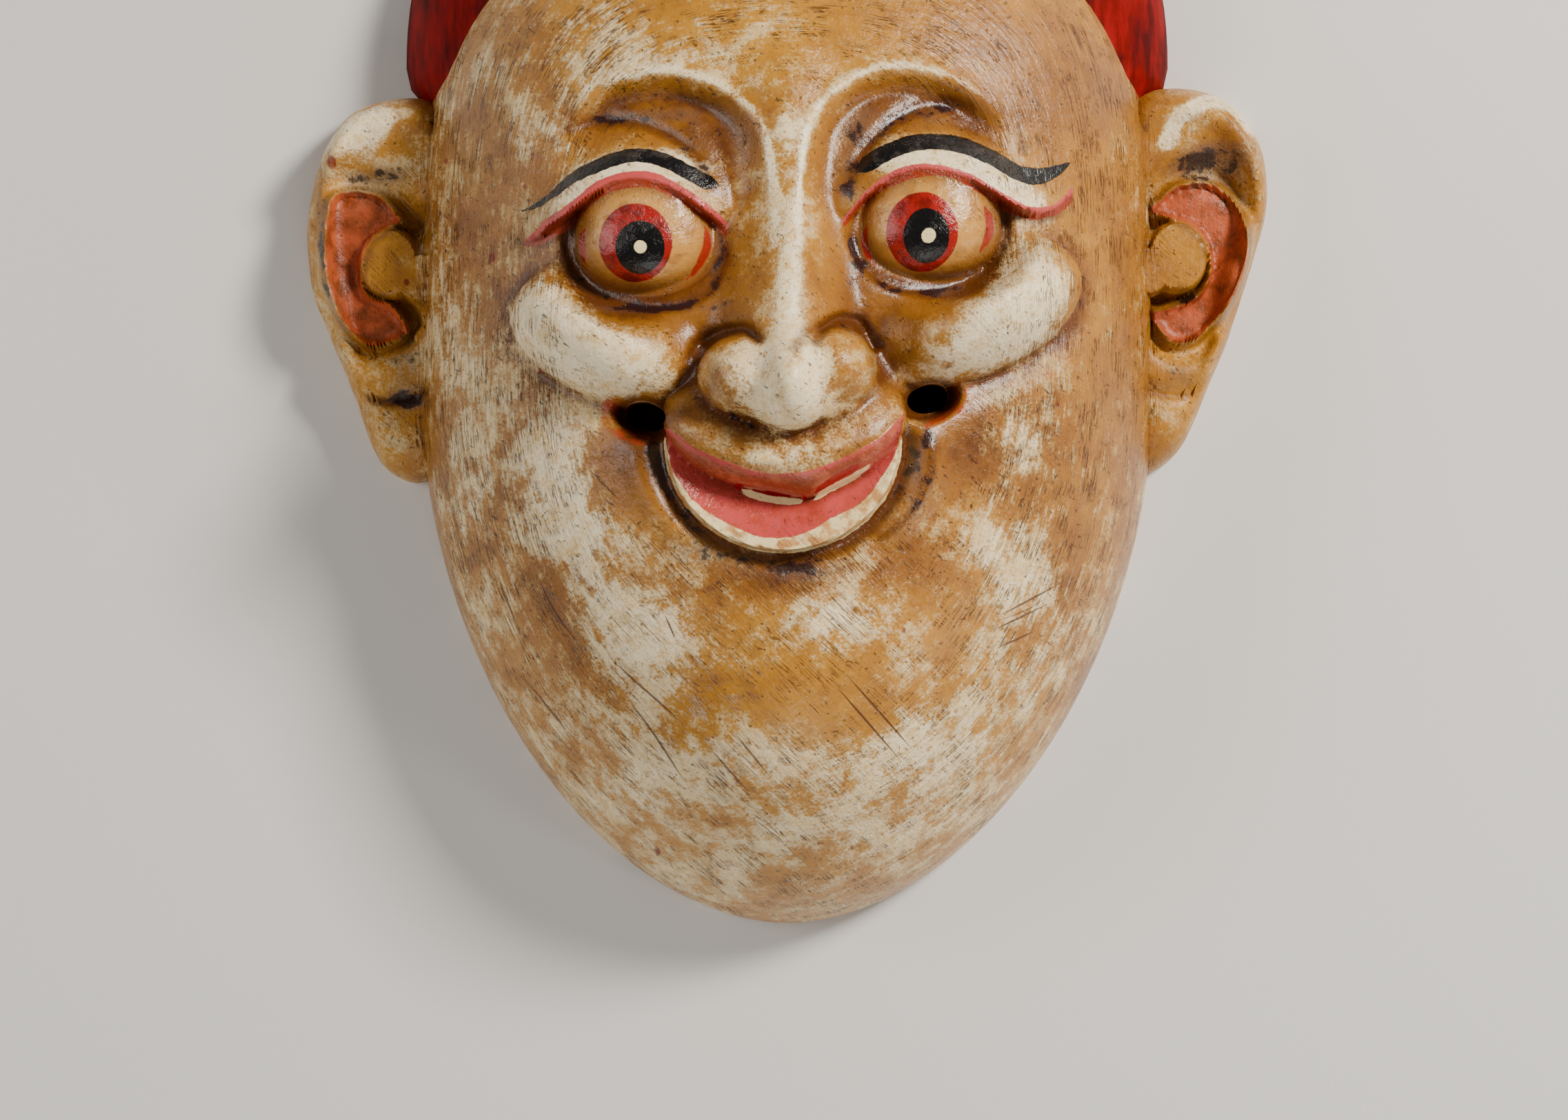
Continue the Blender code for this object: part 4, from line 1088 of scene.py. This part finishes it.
CREAM = shade(255, 239, 200)
CREAM_DULL = shade(216, 174, 102)
TAN = shade(184, 127, 42)
OCHRE = shade(146, 94, 36)
BROWN = shade(92, 52, 23)
UMBER = shade(50, 24, 10)
SCRATCHED = shade(84, 42, 14)
RUST = shade(120, 26, 14)
# A lilac grey laid over the soot as a painted sheen
SHEEN_ON_SOOT = shade(112, 84, 66)
# The soot's colour, also used as painted shade in the darkest creases, the nostril and the holes
SOOT_AND_SHADE = shade(30, 16, 26)
PINK = shade(196, 76, 74)
PINK_GLAZED = shade(146, 64, 36)
CRIMSON = shade(150, 0, 20)
BLACK = shade(20, 18, 19)
IVORY = shade(248, 226, 168)


def wooden_paint(finish):
    """The cream ground under ochre glaze, worn through in patches along the brush marks.

    The cream shows where worn + patches + streaks is over 0. The glaze darkens with the stain and
    with the depth of the carving, and soot lies along the grooves in broken dashes, which also
    carry painted shade in some creases and hollows. A grey painted sheen lies over the soot.
    """
    grain = finish.node("ShaderNodeAttribute", {"attribute_name": "grain"}).outputs["Vector"]
    patches = finish.cloud(62.0, 8.0, 0.68)
    blots = finish.cloud(240.0, 5.0, 0.6)
    grit = finish.cloud(1300.0, 3.0, 0.6)
    side = finish.cloud((1.15, 0.085, 0.085), 4.0, 0.6, grain)
    slant = finish.cloud((700.0, 90.0, 90.0), 5.0, 0.65, None, -0.75)
    edge = finish.kept("edge")
    chin = finish.kept("chin")
    streaks = 0.5 + (slant - 0.5) * (1 - edge) * chin * 0.5 + (side - 0.5) * edge
    sunken = finish.kept("sunken")
    stain = finish.kept("stain")
    worn = finish.kept("worn") - sunken * 0.5
    bare = worn + (patches - 0.5) * 3.0 + (blots - 0.5) * 1.7 + (streaks - 0.5) * 1.7 + (grit - 0.5) * 1.2
    deep = stain + sunken * 0.9 - (patches - 0.5) * 1.2 + (blots - 0.5) * 0.8 + (streaks - 0.5) * 0.8
    glaze = finish.paint(TAN, OCHRE, deep.over(-0.25, 0.5))
    glaze = finish.paint(glaze, BROWN, deep.over(0.35, 1.1))
    cream = finish.paint(CREAM, CREAM_DULL, (blots * 0.5 + patches * 0.3 + grit * 0.4).over(0.52, 0.78))
    thin = finish.paint(glaze, CREAM_DULL, (bare + 0.5).over(0.0, 0.6) * 0.4)
    ground = finish.paint(thin, cream, bare.over(-0.16, 0.34) * 0.94)
    lines = abs(finish.cloud((2.1, 0.08, 0.08), 3.0, 0.5, grain) - 0.5)
    lines_slant = abs(finish.cloud((1700.0, 62.0, 62.0), 3.0, 0.5, None, -0.8) - 0.5)
    lines = lines_slant + (lines - lines_slant) * edge
    some = finish.cloud(130.0, 2.0).over(0.45, 0.6) * (chin + edge).over(0.3, 0.9)
    cuts = (finish.kept("cut_half") - abs(finish.kept("cut"))).over(-0.12, 0.12)
    scratch = cuts.maths("MAXIMUM", cuts, lines.over(0.034, 0.012) * some)
    pores = finish.cloud(700.0, 2.0, 0.5).over(0.67, 0.73)
    flecks = finish.cloud((1300.0, 300.0, 300.0), 2.0, 0.5, None, -1.0).over(0.66, 0.72)
    flecks = flecks * (deep + 0.3).over(0.0, 0.9)
    spots = finish.cloud(330.0, 4.0, 0.65).over(0.6, 0.7)
    groove = finish.kept("groove")
    soot = finish.kept("soot")
    # A painted sheen, lilac grey, over the soot and the dark patches
    sheen_on_soot = (soot + (patches - 0.5) * 2.2 + (blots - 0.5) * 1.2).over(0.25, 1.1)
    # The groove carries painted shade in some creases, the nostril and the holes as well as dark wax, so
    # its brown and its dashes of soot are painted shade there
    dashes = (groove * 0.55 + soot * 0.75 + (blots - 0.5) * 3.0 + (patches - 0.5) * 2.0).over(0.8, 1.15)
    colour = finish.coats(
        ground, (SCRATCHED, scratch * 0.85), (UMBER, pores * 0.6), (UMBER, flecks * 0.8),
        (OCHRE, spots * 0.55), (SHEEN_ON_SOOT, sheen_on_soot * 0.5),
        (BROWN, (groove + (blots - 0.5) * 0.8).over(0.1, 1.0) * 0.72), (SOOT_AND_SHADE, dashes * 0.85),
        (RUST, finish.kept("speck").over(0.0, 0.4) * 0.85))
    height = (bare.over(-0.02, 0.3) * 0.25 + streaks * 0.9 + blots * 0.7 + patches * 0.9 + grit * 0.16
              - scratch * 0.6 - pores * 0.5)
    return colour, height, bare, grit


# The face paint: the eyes, brows and mouth over the worn ground
face = Finish("face_paint")
colour, height, bare, grit = wooden_paint(face)
fray = (face.cloud(420.0, 4.0, 0.6) - 0.5) * 0.9
blots = face.cloud(260.0, 4.0)


def brushed(name, soft=0.12, fray_share=1.0):
    """How far a painted shape covers: from 0 outside its edge to 1 inside."""
    return (face.kept(name) + fray * fray_share).over(-soft, soft)


eyeball = face.kept("ball")
lips = face.kept("lips")
upper_lip = face.kept("upper_lip")
# Noise that frays the edges of the painted shade round the eyeballs and under the upper lip
ragged_edge = (blots - 0.5) * 5.0
iris = face.paint(CRIMSON, shade(84, 4, 16), blots.over(0.45, 0.62) * 0.7)
# The lid's pink, darkened to brown-red below its edge as painted shade of its underside
lid = face.paint(PINK, shade(146, 54, 28), (face.kept("lid_turn") + fray).over(0.8, -0.1))
# The white glint on each pupil is a painted highlight
colour = face.coats(
    colour, (shade(206, 150, 76), eyeball.over(-0.4, 1.6) * 0.85),
    (shade(150, 98, 46), eyeball.over(-0.2, 1.0) * blots.over(0.46, 0.66) * 0.6),
    # Brown glaze and painted shade round the edge of each eyeball, where it meets the lids
    (shade(118, 70, 28), eyeball.over(-0.6, 0.5) * (eyeball + ragged_edge).over(5.0, 0.6) * 0.8),
    (shade(170, 48, 32), brushed("red_rim", 0.3) * blots.over(0.35, 0.6) * 0.7),
    (CRIMSON, brushed("vein", 0.2) * 0.85),
    (iris, brushed("iris", 0.15, 0.5) * 0.97), (BLACK, brushed("pupil", 0.12, 0.35)),
    (IVORY, brushed("glint", 0.12, 0.5)), (lid, brushed("lid_pink")))
# The lower lip is pink with brown-red blots, and darker just below the upper lip's edge as a painted shadow
# of the upper lip
under_lip = face.coats(PINK, (shade(180, 72, 58), blots.over(0.4, 0.7)),
                       (shade(134, 46, 30), (upper_lip + ragged_edge).over(-5.0, -0.3) * 0.6))
over_lip = face.paint(PINK_GLAZED, shade(178, 90, 62), blots.over(0.42, 0.66))
over_lip = face.paint(PINK, over_lip, (lips + (blots - 0.5) * 4.0).over(-0.2, 1.6))
marks = abs(face.cloud((1500.0, 160.0, 160.0), 3.0, 0.5, None, -0.5) - 0.5).over(0.02, 0.005)
# Over the lips: the upper lip, painted shade in their hollows, darker the deeper they lie, and fine dark
# brush marks
lip = face.coats(under_lip, (over_lip, (upper_lip + fray * 0.5).over(-0.1, 0.1)),
                 (shade(120, 50, 36), face.kept("sunken").over(0.5, 1.0) * 0.6),
                 (shade(96, 40, 30), marks * face.cloud(190.0, 2.0).over(0.5, 0.62) * 0.8))
brow = brushed("brow")
colour = face.coats(
    colour, (lip, brushed("lips")),
    (face.paint(IVORY, shade(206, 150, 92), blots.over(0.42, 0.6)), brushed("lip_border") * 0.9),
    (CRIMSON, brushed("mouth_line")), (IVORY, brushed("teeth")),
    (face.paint(BLACK, shade(58, 52, 48), blots.over(0.5, 0.7)), brow))
painted = lips.over(-0.2, 0.2) + brow + eyeball.over(0.0, 1.0)
gloss = 0.19 + grit * 0.2 + bare.over(-0.1, 0.3) * 0.08 - painted * 0.08 - face.kept("groove") * 0.06
face.surface(colour, gloss, height + brow * 0.5 + lips.over(-0.3, 0.3) * 0.3, 0.0005,
             {"Specular IOR Level": 0.48, "Coat Weight": 0.04, "Coat Roughness": 0.2})

# The ears' paint: the same worn ground, with a red plate around the tab and soot around it
ear = Finish("ear_paint")
colour, height, bare, grit = wooden_paint(ear)
red = (ear.kept("ear_red") + (ear.cloud(420.0, 4.0, 0.6) - 0.5) * 1.2).over(-0.15, 0.25)
rusty = ear.paint(shade(180, 80, 48), shade(116, 48, 22), ear.cloud(200.0, 5.0).over(0.38, 0.68))
colour = ear.paint(colour, rusty, red * 0.92)
ear.surface(colour, 0.30 + grit * 0.2, height, 0.0005,
            {"Specular IOR Level": 0.35, "Coat Weight": 0.04, "Coat Roughness": 0.22})

# The hair's paint: red lacquer, streaked and dirty
hair = Finish("hair_paint")
streaks = hair.cloud((420.0, 60.0, 60.0), 5.0, 0.6)
dirt = hair.cloud(90.0, 5.0, 0.6)
red = hair.coats(shade(134, 0, 6), (shade(88, 0, 4), (streaks * 0.7 + dirt * 0.5).over(0.45, 0.75)),
                 (shade(44, 4, 8), (dirt + (streaks - 0.5) * 0.6).over(0.56, 0.8) * 0.6))
hair.surface(red, 0.55 + streaks * 0.25, streaks * 0.7 + dirt * 0.4, 0.0004,
             {"Specular IOR Level": 0.1, "Coat Weight": 0.02, "Coat Roughness": 0.2})

# The bare back: light wood, darkened by handling, with its growth lines running up and down
wood = Finish("bare_wood")
lines = wood.cloud((330.0, 14.0, 60.0), 5.0, 0.6)
fibre = wood.cloud((2200.0, 60.0, 400.0), 3.0, 0.6)
soil = wood.cloud(38.0, 4.0)
tone = wood.coats(shade(196, 150, 100), (shade(140, 94, 54), (lines * 0.8 + fibre * 0.3).over(0.42, 0.68)),
                  (shade(94, 60, 36), (soil + (lines - 0.5) * 0.5).over(0.55, 0.75) * 0.6))
wood.surface(tone, 0.6 + fibre * 0.25, lines * 0.4 + fibre * 0.6, 0.0003, {})

carved.polygons.foreach_set("use_smooth", np.ones(len(carved.polygons), bool))
carved.set_sharp_from_angle(angle=np.radians(60))
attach(piece, "root")
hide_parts("mask")
